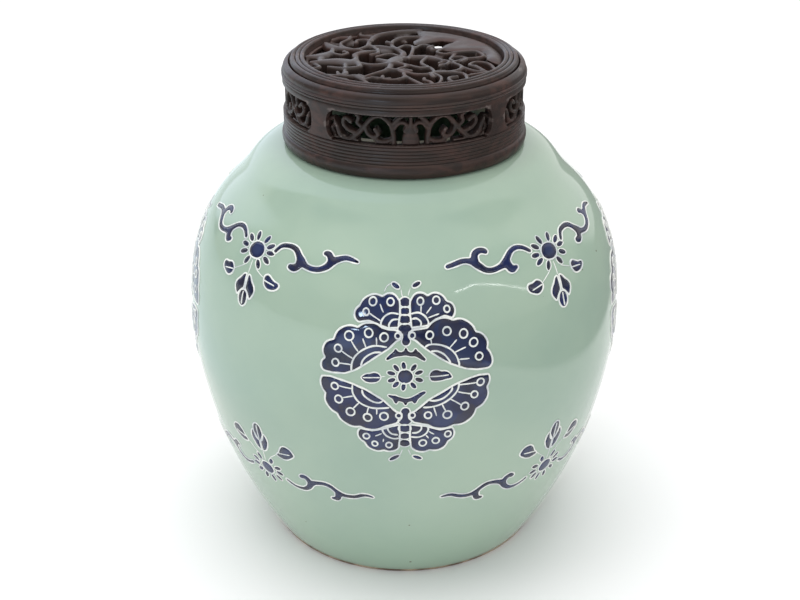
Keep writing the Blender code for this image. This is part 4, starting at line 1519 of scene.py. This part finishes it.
# --- the cover ---------------------------------------------------------------------
@dataclass
class CoverSizes:
    """The cover's sizes, shared by its pieces."""

    turn: float = radians(3.0)
    bottom: float = 0.1928
    top: float = 0.2310
    wall_radius: float = 0.0537
    wall_inner: float = 0.0482
    band_radius: float = 0.0546
    band_top: float = 0.1986
    shoulder_bottom: float = 0.2252
    shoulder_top: float = 0.2286
    shoulder_inner: float = 0.0505
    ledge_inner: float = 0.0415
    ledge_bottom: float = 0.2226
    ledge_top: float = 0.2256
    bead_inner: float = 0.0437
    panel_top: float = 0.2297
    window_bottom: float = 0.2070
    window_top: float = 0.2201
    window_half_angle: float = radians(40.5)
    lobe_angle: float = radians(3.4)
    rebate_half_angle: float = radians(42.5)
    rebate_margin: float = 0.0017
    rebate_radius: float = 0.0516
    gap: float = 0.0003


@dataclass
class Drum:
    """The cover's turned wall, with its ledge, its grooves and its four windows."""

    sizes: CoverSizes
    steps: int = 192

    def profile(self) -> list[Point]:
        """Its section: the outer side top to bottom, then up the inside."""
        s = self.sizes
        wall = s.wall_radius
        quirk = [(s.shoulder_inner, s.shoulder_top - 0.0012),
                 (s.shoulder_inner + 0.0002, s.shoulder_top - 0.0003)]
        shoulder = bezier(
            [(s.shoulder_inner + 0.0005, s.shoulder_top), (wall - 0.0010, s.shoulder_top - 0.0001),
             (wall - 0.0001, s.shoulder_bottom + 0.0014), (wall - 0.0003, s.shoulder_bottom)], 14)
        beads = bead_run(wall + 0.0003, s.shoulder_bottom - 0.0003, s.shoulder_bottom - 0.0026, 2, 0.0005)
        fillet = bezier([(wall - 0.0003, s.shoulder_bottom - 0.0028), (wall, s.shoulder_bottom - 0.0032),
                         (wall, s.window_top + 0.0010)], 4)
        rows = np.linspace(s.window_top, s.window_bottom - 0.0002, 15)
        sill = [(wall, float(z)) for z in rows]
        rings = bead_run(wall, s.window_bottom - 0.0006, s.band_top + 0.0002, 5, 0.00038)
        bulge = s.band_radius + 0.0003
        band = bezier([(wall - 0.0002, s.band_top), (bulge, s.band_top - 0.0010), (bulge, s.bottom + 0.0016),
                       (wall - 0.0004, s.bottom)], 14)
        inner = [(s.wall_inner + 0.0004, s.bottom), (s.wall_inner, s.bottom + 0.0004),
                 (s.wall_inner, s.ledge_bottom), (s.ledge_inner, s.ledge_bottom),
                 (s.ledge_inner, s.ledge_top), (s.shoulder_inner, s.ledge_top)]
        return quirk + shoulder + beads + fillet + sill + rings + band + inner

    def window_height(self, angle: float) -> float:
        """Half the height of a window at an angle from its middle: straight, with a bracketed end."""
        s = self.sizes
        full = 0.5 * (s.window_top - s.window_bottom)
        cusp = s.window_half_angle - s.lobe_angle
        if abs(angle) <= cusp:
            return full
        along = (abs(angle) - cusp) / s.lobe_angle
        return 0.86 * full * max(1.0 - along**2.4, 0.0) ** 0.5

    def cutter(self, name: str, heights: Sequence[Point], inner: float, outer: float) -> Piece:
        """Four curved blocks that cut the windows.

        Args:
            name: The object's name.
            heights: Each column's angle and half height.
            inner: The blocks' inner radius.
            outer: Their outer radius.

        Returns:
            The cutter.
        """
        s = self.sizes
        middle = 0.5 * (s.window_top + s.window_bottom)
        verts, faces = [], []
        for window in range(4):
            first = len(verts)
            for angle, half in heights:
                at = s.turn + window * pi / 2 + angle
                for r, z in ((inner, -half), (outer, -half), (outer, half), (inner, half)):
                    verts.append((r * sin(at), -r * cos(at), middle + z))
            for column in range(len(heights) - 1):
                a = first + 4 * column
                faces += [(a + i, a + (i + 1) % 4, a + 4 + (i + 1) % 4, a + 4 + i) for i in range(4)]
            last = len(verts) - 4
            faces += [(first + 3, first + 2, first + 1, first), (last, last + 1, last + 2, last + 3)]
        made = from_faces(name, np.array(verts), faces)
        face_outwards(made)
        return made

    def build(self, finishes: Finishes) -> None:
        """Turn the wall, cut its windows and rebates, and dress it."""
        s = self.sizes
        drum = turned("cover_turned_wall", self.profile(), self.steps, 32.0)
        shares = [1.0 - (1.0 - i / 12) ** 2 for i in range(12)]
        cusp = s.window_half_angle - s.lobe_angle
        lobes = [s.window_half_angle - s.lobe_angle * (1.0 - share) for share in shares]
        lobes.append(s.window_half_angle)
        straight = [cusp * (2 * i / 51 - 1.0) for i in range(52)]
        columns = [-a for a in reversed(lobes)] + straight + lobes
        heights = [(a, max(self.window_height(a), 0.0002)) for a in columns]
        half = 0.5 * (s.window_top - s.window_bottom) + s.rebate_margin
        rebate = [(s.rebate_half_angle * (2 * i / 45 - 1.0), half) for i in range(46)]
        cutters = [
            self.cutter("window_cutter", heights, s.wall_inner + 0.0010, s.wall_radius + 0.004),
            self.cutter("rebate_cutter", rebate, s.wall_inner - 0.004, s.rebate_radius),
        ]
        for cutter in cutters:
            apply_modifier(drum, "BOOLEAN", operation="DIFFERENCE", solver="EXACT", object=cutter)
            bpy.data.objects.remove(cutter, do_unlink=True)
        take(drum)
        bpy.ops.object.shade_smooth_by_angle(angle=radians(32.0))
        finishes.dress(drum, Slot.TURNED, Body.COVER, "cover_drum")


@dataclass
class BeadedRim:
    """The ring of three fine beads let into the top of the cover."""

    sizes: CoverSizes

    def profile(self) -> list[Point]:
        """Its section: the beads from the inside out, then down and back."""
        s = self.sizes
        outer = s.shoulder_inner - s.gap
        width = (outer - 0.0004 - s.bead_inner) / 3
        points = [(s.bead_inner, s.top - 0.0009)]
        for bead in range(3):
            start = s.bead_inner + width * bead
            crown = s.top - 0.0002 * bead
            for share in (0.06, 0.16, 0.32, 0.5, 0.68, 0.84, 0.94, 1.0):
                swell = max(sin(pi * share), 0.0) ** 0.5
                points.append((start + share * width, crown - 0.0008 * (1.0 - swell)))
        seat = s.ledge_top + s.gap
        corner = [(outer - 0.0004, s.top - 0.0014), (outer, s.top - 0.0018), (outer, s.top - 0.0026)]
        points += bezier(corner, 4)
        return points + [(outer, seat), (s.bead_inner, seat)]

    def build(self, finishes: Finishes) -> None:
        """Turn the ring and dress it."""
        ring = turned("cover_beaded_rim", self.profile(), 224, 38.0)
        finishes.dress(ring, Slot.TURNED, Body.COVER, "cover_bead_ring")


@dataclass
class Carving:
    """Openwork cut from a thin board, flat and in millimetres, before it is bent or laid.

    The board lies between its floor and its crown.  Within `deep_within` of its middle its
    tendrils reach down to `deep` instead.
    """

    floor: float
    crown: float
    voxel: float
    deep: float = 0.0
    deep_within: float = 0.0
    parts: list[Piece] = field(default_factory=list)

    def depth_at(self, spot: np.ndarray, half: float) -> float:
        """How far down a tendril reaches: deeper over the opening below the board."""
        return self.deep if hypot(*spot) + half < self.deep_within else self.floor

    def stem(self, points: Stroke, rise: float = 0.0, round_by: float = 1.0) -> None:
        """Add a tendril with a half-round top and upright sides.

        Args:
            points: Its (x, y, half width).
            rise: How far its top stands above the board's face.
            round_by: The height of the rounding, as a share of the half width.
        """
        path = smooth_run(points, 0.5)
        along = np.gradient(path[:, :2], axis=0)
        along /= np.maximum(np.linalg.norm(along, axis=1, keepdims=True), 1e-9)
        stations = [(path[i, :2], along[i], path[i, 2]) for i in range(len(path))]
        for end, way in ((0, -1.0), (-1, 1.0)):
            spot, direction, half = stations[end]
            cap = [(spot + direction * way * half * sin(a), direction, max(half * cos(a), 0.02))
                   for a in (pi / 7, 2 * pi / 7, 3 * pi / 7, pi / 2 - 0.02)]
            stations = cap[::-1] + stations if end == 0 else stations + cap
        angles = [pi * i / 8 for i in range(9)]
        rows, top = [], self.crown + rise
        for spot, direction, half in stations:
            side = np.array((-direction[1], direction[0]))
            lift = min(half, 1.3) * round_by
            section = [(half * cos(a), top - lift + lift * sin(a)) for a in angles]
            foot = self.depth_at(spot, half)
            section += [(-half, foot), (half, foot)]
            rows.append([(*(spot + side * across), z) for across, z in section])
        size = len(rows[0])
        verts = np.array([v for row in rows for v in row])
        faces = []
        for r in range(len(rows) - 1):
            a = r * size
            for i in range(size):
                after = (i + 1) % size
                faces.append((a + i, a + after, a + size + after, a + size + i))
        faces += [tuple(range(size))[::-1], tuple(range(len(verts) - size, len(verts)))]
        self.parts.append(from_faces("stem", verts, faces))

    def leaf(self, outline: np.ndarray, edge: float, swell: float) -> None:
        """Add a broad leaf that swells away from its edges.

        Args:
            outline: Its outline.
            edge: How far its edge lies below the board's face.
            swell: How far its middle rises above its edge.
        """

        def front(points: np.ndarray, depth: np.ndarray) -> np.ndarray:
            """The leaf's rounded face, a little hollow along its middle."""
            rounded = 1.0 - np.exp(-((depth / 1.6) ** 1.5))
            hollow = 0.35 * np.clip((depth - 3.0) / 4.0, 0.0, 1.0)
            return self.crown - edge + swell * (rounded - hollow)

        loops = [evened(outline, 0.7, 3)]
        self.parts.append(pillow("leaf", loops, 1.2, front, self.crown - edge, self.floor))

    def ring(self, inner: float, outer: float, top: float) -> None:
        """Add a flat ring, for the board's border."""
        profile = [(inner, self.floor), (outer, self.floor), (outer, top), (inner, top)]
        self.parts.append(turned("border", profile, 160))

    def bar(self, left: float, right: float, low: float, high: float, top: float) -> None:
        """Add a straight bar of the board's border.

        Args:
            left: Its left end.
            right: Its right end.
            low: Its lower side.
            high: Its upper side.
            top: The height of its face.
        """
        bpy.ops.object.select_all(action="DESELECT")
        bpy.ops.mesh.primitive_cube_add(size=1.0, location=(0.0, 0.0, 0.0))
        made = bpy.context.object
        bpy.ops.object.mode_set(mode="EDIT")
        bpy.ops.mesh.select_all(action="SELECT")
        bpy.ops.transform.resize(value=(right - left, high - low, top - self.floor))
        bpy.ops.mesh.bevel(offset=0.3, segments=2, affect="EDGES")
        middle = (0.5 * (left + right), 0.5 * (low + high), 0.5 * (top + self.floor))
        bpy.ops.transform.translate(value=middle)
        bpy.ops.object.mode_set(mode="OBJECT")
        self.parts.append(made)

    def carve(self, name: str, smoothing: int) -> Piece:
        """Join all that was added into one carved solid, in metres.

        Args:
            name: The object's name.
            smoothing: How many passes soften the tool marks.

        Returns:
            The carving, flat.
        """
        bpy.ops.object.select_all(action="DESELECT")
        for part in self.parts:
            part.select_set(True)
        bpy.context.view_layer.objects.active = self.parts[0]
        bpy.ops.object.join()
        made = bpy.context.object
        made.name = made.data.name = name
        if "depth" in made.data.attributes:
            made.data.attributes.remove(made.data.attributes["depth"])
        face_outwards(made)
        apply_modifier(made, "REMESH", mode="VOXEL", voxel_size=self.voxel, adaptivity=0.0)
        apply_modifier(made, "SMOOTH", factor=0.5, iterations=smoothing)
        write_points(made, read_points(made) * MILLIMETRE)
        take(made)
        bpy.ops.object.shade_smooth()
        return made


# Tendrils of the carved top, each (rise, [(x, y, half width), ...]) about its centre.
TOP_STEMS: list[tuple[float, Stroke]] = [
    (0, [(9, 43, 2.2), (-1, 40, 1.8), (-10, 35, 1.6), (-14, 26, 1.4), (-16, 17, 1.1), (-21, 12.5, 0.9),
        (-26, 16, 0.9), (-27.5, 22, 0.9), (-24, 28, 0.9), (-23, 32, 1.3)]),
    (-0.3, [(10, 32, 1.2), (2, 31, 1.1), (-3.5, 26, 1.1), (-4.5, 19, 1), (-3, 14, 1), (0, 7, 1.6),
        (-2, -2, 1.6)]),
    (-0.5, [(-16, 17, 1.1), (-10, 18, 1.6), (-3, 14, 1)]),
    (-0.3, [(-23, 32, 1.1), (-29, 34, 1.1), (-33, 31, 1.1)]),
    (-0.2, [(-19, 40, 0.9), (-18, 35, 0.9), (-13.5, 33, 1.2)]),
    (-0.4, [(-21, 12.5, 0.9), (-15, 10, 1.2), (-11, 11, 1), (-12.5, 16, 0.9), (-14, 19, 0.9)]),
    (0, [(-2, 13, 0.8), (1, 17, 0.8), (4.5, 15.5, 0.8), (4, 8, 0.9), (2, -2, 0.9)]),
    (-0.2, [(4.5, 12, 0.8), (9, 18, 0.8), (13, 15.5, 0.8), (13, 11, 1.1), (18, 12, 0.9)]),
    (0, [(19, 12, 0.8), (15, 7, 0.8), (18, 3.5, 0.8), (24, 6, 0.9), (32, 6.5, 0.9), (35, 0, 0.9),
        (32, -3, 1.4)]),
    (-0.4, [(23, 5, 0.8), (20, -3, 0.8), (21.5, -8, 0.9), (15, -12, 1.1)]),
    (-0.1, [(21.5, -8, 0.8), (27, -4, 1), (31, -3, 1.2)]),
    (0.2, [(-4, -4, 3.6), (-5, -7, 3.2)]),
    (-0.2, [(-11, -3, 1.6), (-7, -6, 2.4)]),
    (-0.5, [(-22, -4, 0.9), (-15, -9, 1.2), (-7, -8, 1.6)]),
    (0, [(-12, 1, 0.8), (-6, 4.5, 0.9), (-2, 1, 0.9)]),
    (-0.3, [(-2, -2, 1.4), (6, 1, 2.2), (12, -1, 1.8), (17, -6, 0.9), (15, -9, 1.2)]),
    (-0.1, [(10, -1, 0.9), (7, -9, 0.9), (11, -18, 0.9), (11, -24, 0.9), (4, -25, 0.9), (-1, -21, 0.9)]),
    (0, [(-5, -7, 1.6), (1, -12, 0.9), (6, -16, 1), (10, -16, 0.9)]),
    (-0.2, [(-6, -9, 1.4), (-8, -17, 1.6), (-13, -22, 1)]),
    (0, [(-8, -17, 1.2), (-2, -20, 0.9), (-1, -27, 0.9), (3, -35, 0.9), (6, -40, 1)]),
    (0, [(39, -20, 0.9), (36, -12, 0.8), (31, -9, 0.8), (27.5, -13, 0.8), (30, -15.5, 1.2)]),
    (-0.2, [(11, -23, 1), (17, -22.5, 1), (24, -25, 0.9), (26, -36, 0.9)]),
    (0, [(20, -39, 0.8), (17, -33, 0.8), (19.5, -30.5, 1)]),
    (-0.1, [(21, -10, 0.9), (24, -15, 1), (22, -20, 1.2), (17, -22.5, 1)]),
    (-0.3, [(24, -15, 0.8), (29, -21, 0.9), (36, -24, 1)]),
    (-0.2, [(11, -24, 0.8), (14, -29, 0.8), (13, -36, 0.8), (10, -41, 0.9)]),
    (0, [(-22, -27, 0.9), (-19, -32, 0.9), (-16, -40, 1)]),
    (-0.2, [(-13, -22, 0.9), (-18, -27, 0.9), (-19, -32, 0.9)]),
    (0, [(-1, -27, 0.8), (-4, -32, 0.9), (-10, -31, 0.8), (-10.5, -27, 1)]),
    (-0.1, [(-22, -27, 1), (-29, -25, 1), (-35, -24, 1)]),
    (0, [(-34, 22, 1.6), (-31, 17, 2.6), (-25, 13, 1.4), (-20, 12, 1)]),
    (-0.2, [(-43, 3, 1.4), (-36, 5, 3.6), (-32, 10, 1.4), (-31, 16, 1.4)]),
    (0.1, [(-40, -6, 1.6), (-30, -4, 3.6), (-23, -6, 3.4), (-21, -1, 1.2), (-20, 5, 0.9), (-12, 9, 1)]),
    (-0.3, [(-40, -6, 1.2), (-37, -12, 1), (-41, -14, 1)]),
    (0, [(-33, -13, 1), (-27, -15, 1.4), (-20, -13, 1.2), (-21, -7, 1.6)]),
    (-0.3, [(-26, -6, 1.4), (-26, -14, 1), (-27, -24, 1)]),
    (-0.4, [(-36, 5, 2), (-37, -4, 1.4)]),
    (0.2, [(-14, 24, 0.9), (-16.5, 26.5, 0.9), (-20, 25.5, 0.9), (-20.5, 22.5, 1.2)]),
    (0.1, [(-31, 12, 0.9), (-31, 7, 0.8), (-27.5, 4.2, 0.8), (-24.6, 6.6, 0.8), (-26, 9, 1.1)]),
    (0.2, [(-11, 11, 0.9), (-11.3, 5.5, 0.9), (-14.2, 3.4, 1.2)]),
    (0.1, [(-14, 9, 0.9), (-19, 7.6, 0.9), (-22, 3.6, 0.9), (-21, -1, 1)]),
    (0.2, [(-4.5, 20, 0.9), (-6.4, 22.2, 1.2)]),
    (0.2, [(13.6, 15, 0.8), (11.4, 12.6, 1.1)]),
    (0.2, [(18, -12, 0.8), (19, -8.6, 0.8), (16.6, -6.6, 1.2)]),
    (0.2, [(22, -2, 0.8), (25.6, -2.4, 0.8), (27, -5.6, 0.8), (25, -8.2, 1.1)]),
    (0.1, [(30, -15.5, 1.2), (31.5, -18.5, 0.9), (33, -22, 1.2)]),
    (0, [(36, -24, 0.9), (31, -25.5, 0.8), (27, -27, 0.9)]),
    (0.2, [(20, -39, 0.8), (17.5, -35.5, 0.8), (17.2, -31.5, 0.9), (20.4, -30.2, 1.1)]),
    (0.1, [(10, -41, 0.9), (9.2, -36.5, 0.9), (6.8, -33.5, 0.8), (6.8, -31.4, 1)]),
    (0.1, [(9.5, -24.5, 0.8), (10.8, -28.6, 1.1)]),
    (0.1, [(-4, -31.6, 1.2), (-1.2, -30.2, 0.8)]),
    (0, [(-19, -32, 0.9), (-15.5, -29, 0.8), (-12.6, -29.6, 1.3)]),
    (0.1, [(-19, -32, 0.8), (-21, -26.4, 0.9), (-24.4, -26.2, 0.9)]),
    (0.1, [(-29.4, -20.6, 0.8), (-28.8, -24, 0.8), (-25.8, -23.8, 0.8), (-25.6, -20.8, 0.9)]),
    (0, [(-35, -24, 1), (-30, -28.5, 0.9), (-26.2, -31, 1.2), (-24, -35, 0.9)]),
    (0, [(-2, -22, 0.8), (-3.6, -17.6, 0.8), (-0.2, -14.2, 0.8), (-0.4, -11.4, 0.8)]),
    (0.1, [(1.6, -20.4, 1.1), (-1.2, -18.4, 0.8)]),
    (-1.6, [(-12, 17, 2), (-8, 15, 3.4), (-4, 17, 2.2)]),
    (-1.7, [(11, -20, 2), (15, -17, 3.4), (20, -18, 1.6)]),
    (-1.8, [(-20, -20, 1.6), (-14, -27, 2.6), (-8, -25, 1.4)]),
    (-1.8, [(-12, 32, 1.4), (-19, 30, 2.4), (-26, 26, 2.2), (-33, 27, 1.2)]),
    (-1.7, [(2, 28, 1.2), (-1, 34, 2.2), (3, 38, 2)]),
    (-1.8, [(5, 5, 1.6), (10, 6, 2.4), (16, 3, 1.4)]),
    (-1.8, [(24, -22, 1.4), (30, -27, 2.2), (33, -20, 1.2)]),
    (-1.8, [(2, -38, 1.2), (-6, -37, 2.4), (-14, -38, 1.4)]),
]

# The big smooth leaf of the carved top.
BIG_LEAF = [
    (7, 43, 0.1), (20, 39, 0.1), (33, 28, 0.1), (41, 14, 0.1), (43, 0, 0.1), (41.5, -12, 0), (39, -11, 0),
    (35.5, -5, 0), (36.5, 2, 0), (34, 7.5, 0), (28, 7.5, 0), (24, 6.5, 0), (18, 9.5, 0), (17, 13, 0),
    (19.5, 18.5, 0), (24, 22.5, 0), (18, 25, 0), (13, 22, 0), (9, 19, 0), (5.5, 19, 0), (5, 24, 0),
    (9, 30.5, 0),
]


@dataclass
class CarvedTop:
    """The openwork board of leaves, tendrils and a flower inside the beaded rim."""

    sizes: CoverSizes

    def build(self, finishes: Finishes) -> None:
        """Carve the board and dress it."""
        s = self.sizes
        floor = (s.ledge_top + s.gap) / MILLIMETRE
        crown = s.panel_top / MILLIMETRE
        radius = (s.bead_inner - s.gap) / MILLIMETRE
        within = (s.ledge_inner - 2 * s.gap) / MILLIMETRE
        carving = Carving(floor, crown, 0.49, s.ledge_bottom / MILLIMETRE, within)
        reach = radius - 1.0
        for rise, points in TOP_STEMS:
            pulls = [min(1.0, reach / hypot(x, y)) for x, y, half in points]
            held = [(x * pull, y * pull, half) for pull, (x, y, half) in zip(pulls, points)]
            carving.stem(held, rise)
        leaf = lobed(BIG_LEAF)
        shrink = np.minimum(1.0, reach / np.linalg.norm(leaf, axis=1))[:, None]
        carving.leaf(leaf * shrink, 0.9, 1.0)
        carving.ring(radius - 1.6, radius, crown - 1.6)
        top = carving.carve("cover_carved_top", 3)
        turn_mesh(top, s.turn)
        finishes.dress(top, Slot.CARVED, Body.COVER, "cover_top_panel")


# Half of a window's fret, left of its middle: (along, up, half width) from its sill's middle.
FRET_STEMS: list[tuple[float, Stroke]] = [
    (0, [(-7, -0.4, 1), (-7.2, 4.6, 0.95), (-8.6, 9.3, 0.95), (-12.8, 12.5, 1), (-16.6, 10.9, 1),
        (-19.2, 7.7, 1.05), (-22.4, 4, 1.1), (-26.4, 0.9, 1.2), (-30.4, 2.3, 1.1), (-32.2, 6.2, 0.95),
        (-34.6, 8.6, 0.9), (-37.4, 7.4, 0.9)]),
    (-0.1, [(-22.6, 4, 0.9), (-26.6, 5.1, 0.85), (-29, 7.6, 0.85), (-28, 10.2, 0.85), (-25.8, 9, 1.05)]),
    (-0.1, [(-19.2, 7.6, 0.9), (-18, 4.6, 0.85), (-15.6, 3.2, 0.85), (-13.5, 4.4, 0.85),
        (-14.6, 6.3, 1.05)]),
    (-0.1, [(-7.6, 6.4, 0.85), (-5.4, 9.3, 0.85), (-3.1, 10, 0.85), (-1.5, 8.5, 0.85), (-2.3, 6.6, 0.9)]),
    (-0.2, [(-15.6, 3.2, 0.9), (-12.8, 1.4, 0.9), (-9.6, 1.6, 0.9), (-7, 3.4, 0.9)]),
    (-0.2, [(-33, 1, 1), (-35.6, 3.4, 0.9), (-34.6, 5.6, 0.9)]),
    (-0.3, [(-20.4, 7, 0.8), (-22.6, 8.8, 0.8), (-22, 11.2, 0.9), (-24.2, 13.4, 0.9)]),
    (-0.3, [(-8.2, 8.4, 0.8), (-5.4, 11.4, 0.8), (-2.6, 13.4, 0.9)]),
]
FRET_BUD: Stroke = [(0.0, -0.4, 3.6), (0.0, 2.6, 3.6), (0.0, 5.0, 2.8), (0.0, 8.4, 0.9), (0.0, 13.4, 0.7)]
# Where the fret's lower rail is solid, between its slits: (left, right).
FRET_FEET = [(-36.0, -22.0), (-14.8, -10.9), (-2.9, 2.2), (10.1, 15.2), (18.1, 36.0)]


@dataclass
class Frets:
    """The pierced scroll panels behind the four windows."""

    sizes: CoverSizes
    border: float = 1.3
    end: float = 0.9
    rail: float = 1.5
    stand: float = 1.4

    def flat(self) -> Piece:
        """One fret before it is bent: x along the wall, y up from the sill, z outwards."""
        s = self.sizes
        back = (s.wall_inner + s.gap) / MILLIMETRE
        front = (s.rebate_radius - s.gap) / MILLIMETRE
        carving = Carving(back, front, 0.26)
        half = (s.rebate_half_angle - s.gap / s.rebate_radius) * s.rebate_radius / MILLIMETRE
        low = (s.gap - s.rebate_margin) / MILLIMETRE
        tall = (s.window_top - s.window_bottom) / MILLIMETRE
        high = tall + (s.rebate_margin - s.gap) / MILLIMETRE
        face = front - 0.3
        carving.bar(-half, half, low, low + self.border, face)
        carving.bar(-half, half, high - self.border, high, face)
        carving.bar(-half, -half + self.end, low, high, face)
        carving.bar(half - self.end, half, low, high, face)
        for left, right in FRET_FEET:
            carving.bar(left, right, low, self.rail, face)
        for rise, points in FRET_STEMS:
            carving.stem(points, rise - 0.05)
            carving.stem(mirrored(points, -1), rise - 0.05)
        carving.stem(FRET_BUD, 0.0, 0.8)
        made = carving.carve("window_fret", 2)
        points = read_points(made) / MILLIMETRE
        wide = s.window_half_angle * s.rebate_radius / MILLIMETRE - 2.4
        margin = np.minimum(np.minimum(points[:, 1], tall - points[:, 1]), wide - np.abs(points[:, 0])) - 0.35
        forward = np.clip((points[:, 2] - back - 0.4) / 1.2, 0.0, 1.0)
        points[:, 2] += self.stand * np.clip(margin / 0.6, 0.0, 1.0) * forward
        write_points(made, points * MILLIMETRE)
        return made

    def build(self, finishes: Finishes) -> None:
        """Carve one fret, bend it, and set a copy of it behind each window."""
        s = self.sizes
        fret = self.flat()
        points = read_points(fret)
        angle = points[:, 0] / s.rebate_radius
        radius = points[:, 2]
        height = s.window_bottom + points[:, 1]
        write_points(fret, np.column_stack((radius * np.sin(angle), -radius * np.cos(angle), height)))
        for index, side in enumerate(FOUR_SIDES):
            piece = copied(fret, "fret_" + side)
            turn_mesh(piece, s.turn + index * pi / 2)
            finishes.dress(piece, Slot.FRET, Body.COVER, "window_fret_" + side)
        bpy.data.objects.remove(fret, do_unlink=True)


# --- the stage ---------------------------------------------------------------------
@dataclass
class Studio:
    """A plain pale floor, soft light and the camera."""

    camera_place: Triple = (0.0, -0.6107, 0.4144)
    camera_tilt: float = radians(63.51)
    lens: float = 64.6
    sideways: float = -0.00525
    floor_size: float = 8.0

    def build(self) -> None:
        """Set up the floor, the lights, the surroundings and the camera."""
        self.lay_floor()
        self.hang_lights()
        self.surround()
        self.aim_camera()
        view = bpy.context.scene.view_settings
        view.view_transform = "Standard"
        view.look = "None"

    def lay_floor(self) -> None:
        """A pale, matt floor, which only glossy rays see dark to the right and pale blue to the left, as
        painted reflections in the glaze.
        """
        bpy.ops.object.select_all(action="DESELECT")
        bpy.ops.mesh.primitive_plane_add(size=self.floor_size, location=(0.0, 0.0, 0.0))
        floor = bpy.context.object
        floor.name = "floor"
        material, sheet, shader = new_finish("pale_floor")
        place = sheet.add("TexCoord").outputs["Object"]
        across = sheet.add("SeparateXYZ", {0: place}).outputs[0]
        # Painted reflections: to glossy rays the floor turns dark to the right and pale blue to the left.
        glossy = sheet.add("LightPath").outputs["Is Glossy Ray"]
        right = sheet.sum(sheet.span(across, 0.27, 0.31), glossy, "MULTIPLY")
        left = sheet.sum(sheet.span(across, -0.14, -0.24), glossy, "MULTIPLY")
        floor_and_painted_reflections = sheet.mix(right, (0.90, 0.90, 0.90), (0.20, 0.20, 0.20))
        floor_and_painted_reflections = sheet.mix(left, floor_and_painted_reflections, (0.86, 0.96, 1.0))
        sheet.join(floor_and_painted_reflections, shader.inputs["Base Color"])
        shader.inputs["Roughness"].default_value = 0.7
        shader.inputs["Specular IOR Level"].default_value = 0.2
        floor.data.materials.append(material)

    def add_light(self, name: str, ends: tuple, width: float, power: float, tint: Colour, seen: bool) -> None:
        """Add a soft rectangular light that faces the jar.

        Args:
            name: Its name.
            ends: The middles of its two short sides.
            width: The length of those sides.
            power: Its power, in watts.
            tint: Its colour.
            seen: Whether glossy surfaces reflect it.
        """
        start, end = Vector(ends[0]), Vector(ends[1])
        along = (end - start).normalized()
        away = 0.5 * (start + end) - Vector((0.0, 0.0, 0.12))
        away = (away - along * away.dot(along)).normalized()
        data = bpy.data.lights.new(name, "AREA")
        data.shape = "RECTANGLE"
        data.size, data.size_y = (end - start).length, width
        data.energy = power
        data.color = tint
        lamp = bpy.data.objects.new(name, data)
        bpy.context.scene.collection.objects.link(lamp)
        turn = Matrix((along, away.cross(along), away)).transposed()
        lamp.matrix_world = Matrix.Translation(0.5 * (start + end)) @ turn.to_4x4()
        lamp.visible_glossy = seen

    def hang_lights(self) -> None:
        """Large soft lights overhead, and small ones that only glint in the glaze."""
        white = (1.0, 1.0, 1.0)
        self.add_light("key", ((-1.7, -0.3, 1.5), (-0.5, -0.3, 2.3)), 1.4, 8.0, white, False)
        self.add_light("overhead", ((-0.7, 0.2, 2.0), (0.7, 0.2, 2.0)), 1.4, 17.0, white, False)
        bends = [(0.71, -1.32, 0.91), (0.95, -1.11, 0.975), (1.25, -0.925, 0.80), (1.54, -0.555, 0.41)]
        for index, ends in enumerate(zip(bends, bends[1:])):
            self.add_light(f"strip_{index + 1}", ends, 0.022, 0.36, white, True)
        blue = (0.62, 0.80, 1.0)
        self.add_light("window", ((-0.68, -1.46, 0.45), (-0.54, -1.46, 0.45)), 0.15, 2.4, blue, True)

    def surround(self) -> None:
        """A white room whose reflections are bright behind and above, and dim on the camera's side."""
        world = bpy.data.worlds.new("white_room")
        bpy.context.scene.world = world
        world.use_nodes = True
        sheet = Sheet(world.node_tree)
        place = sheet.add("TexCoord").outputs["Generated"]
        aim = sheet.add("CombineXYZ", {0: 0.072, 1: 0.707, 2: 0.707}).outputs[0]
        facing = sheet.add("VectorMath", {0: place, 1: aim}, operation="DOT_PRODUCT").outputs["Value"]
        sheltered = sheet.span(facing, 0.44, 0.53)
        side = sheet.add("SeparateXYZ", {0: place}).outputs[0]
        cool = sheet.mix(sheet.span(side, -0.35, 0.35), (1.38, 1.50, 1.72), (1.06, 1.05, 1.05))
        patches = sheet.add("TexNoise", {"Vector": place, "Scale": 1.6, "Detail": 1.0}).outputs[0]
        room = sheet.mix(sheet.span(patches, 0.48, 0.56), (0.24, 0.26, 0.27), (0.62, 0.62, 0.56))
        height = sheet.add("SeparateXYZ", {0: place}).outputs[2]
        room = sheet.mix(sheet.span(height, 0.70, 0.80), room, (1.20, 1.22, 1.08))
        reflected = sheet.mix(sheltered, room, cool)
        glossy = sheet.add("LightPath").outputs["Is Glossy Ray"]
        colour = sheet.mix(glossy, (0.85, 0.85, 0.85), reflected)
        background = world.node_tree.nodes["Background"]
        sheet.join(colour, background.inputs["Color"])
        background.inputs["Strength"].default_value = 1.0

    def aim_camera(self) -> None:
        """The camera, in front of the jar and looking down at it."""
        data = bpy.data.cameras.new("camera")
        data.lens = self.lens
        data.sensor_width = 36.0
        data.shift_x = self.sideways
        camera = bpy.data.objects.new("camera", data)
        bpy.context.scene.collection.objects.link(camera)
        camera.location = self.camera_place
        camera.rotation_euler = (self.camera_tilt, 0.0, 0.0)
        bpy.context.scene.camera = camera


def main() -> None:
    """Build every piece in order, then the stage."""
    logging.basicConfig(level=logging.INFO, format="%(name)s: %(message)s")
    Studio().build()
    finishes = Finishes()
    finishes.prepare()
    vessel = Vessel()
    vessel.build(finishes)
    surface = BellySurface(vessel)
    for decoration in (Medallion(), UPPER_SPRAY, LOWER_SPRAY):
        decoration.build(surface, finishes)
    sizes = CoverSizes()
    for piece in (Drum(sizes), BeadedRim(sizes), CarvedTop(sizes), Frets(sizes)):
        piece.build(finishes)


if __name__ == "__main__":
    main()
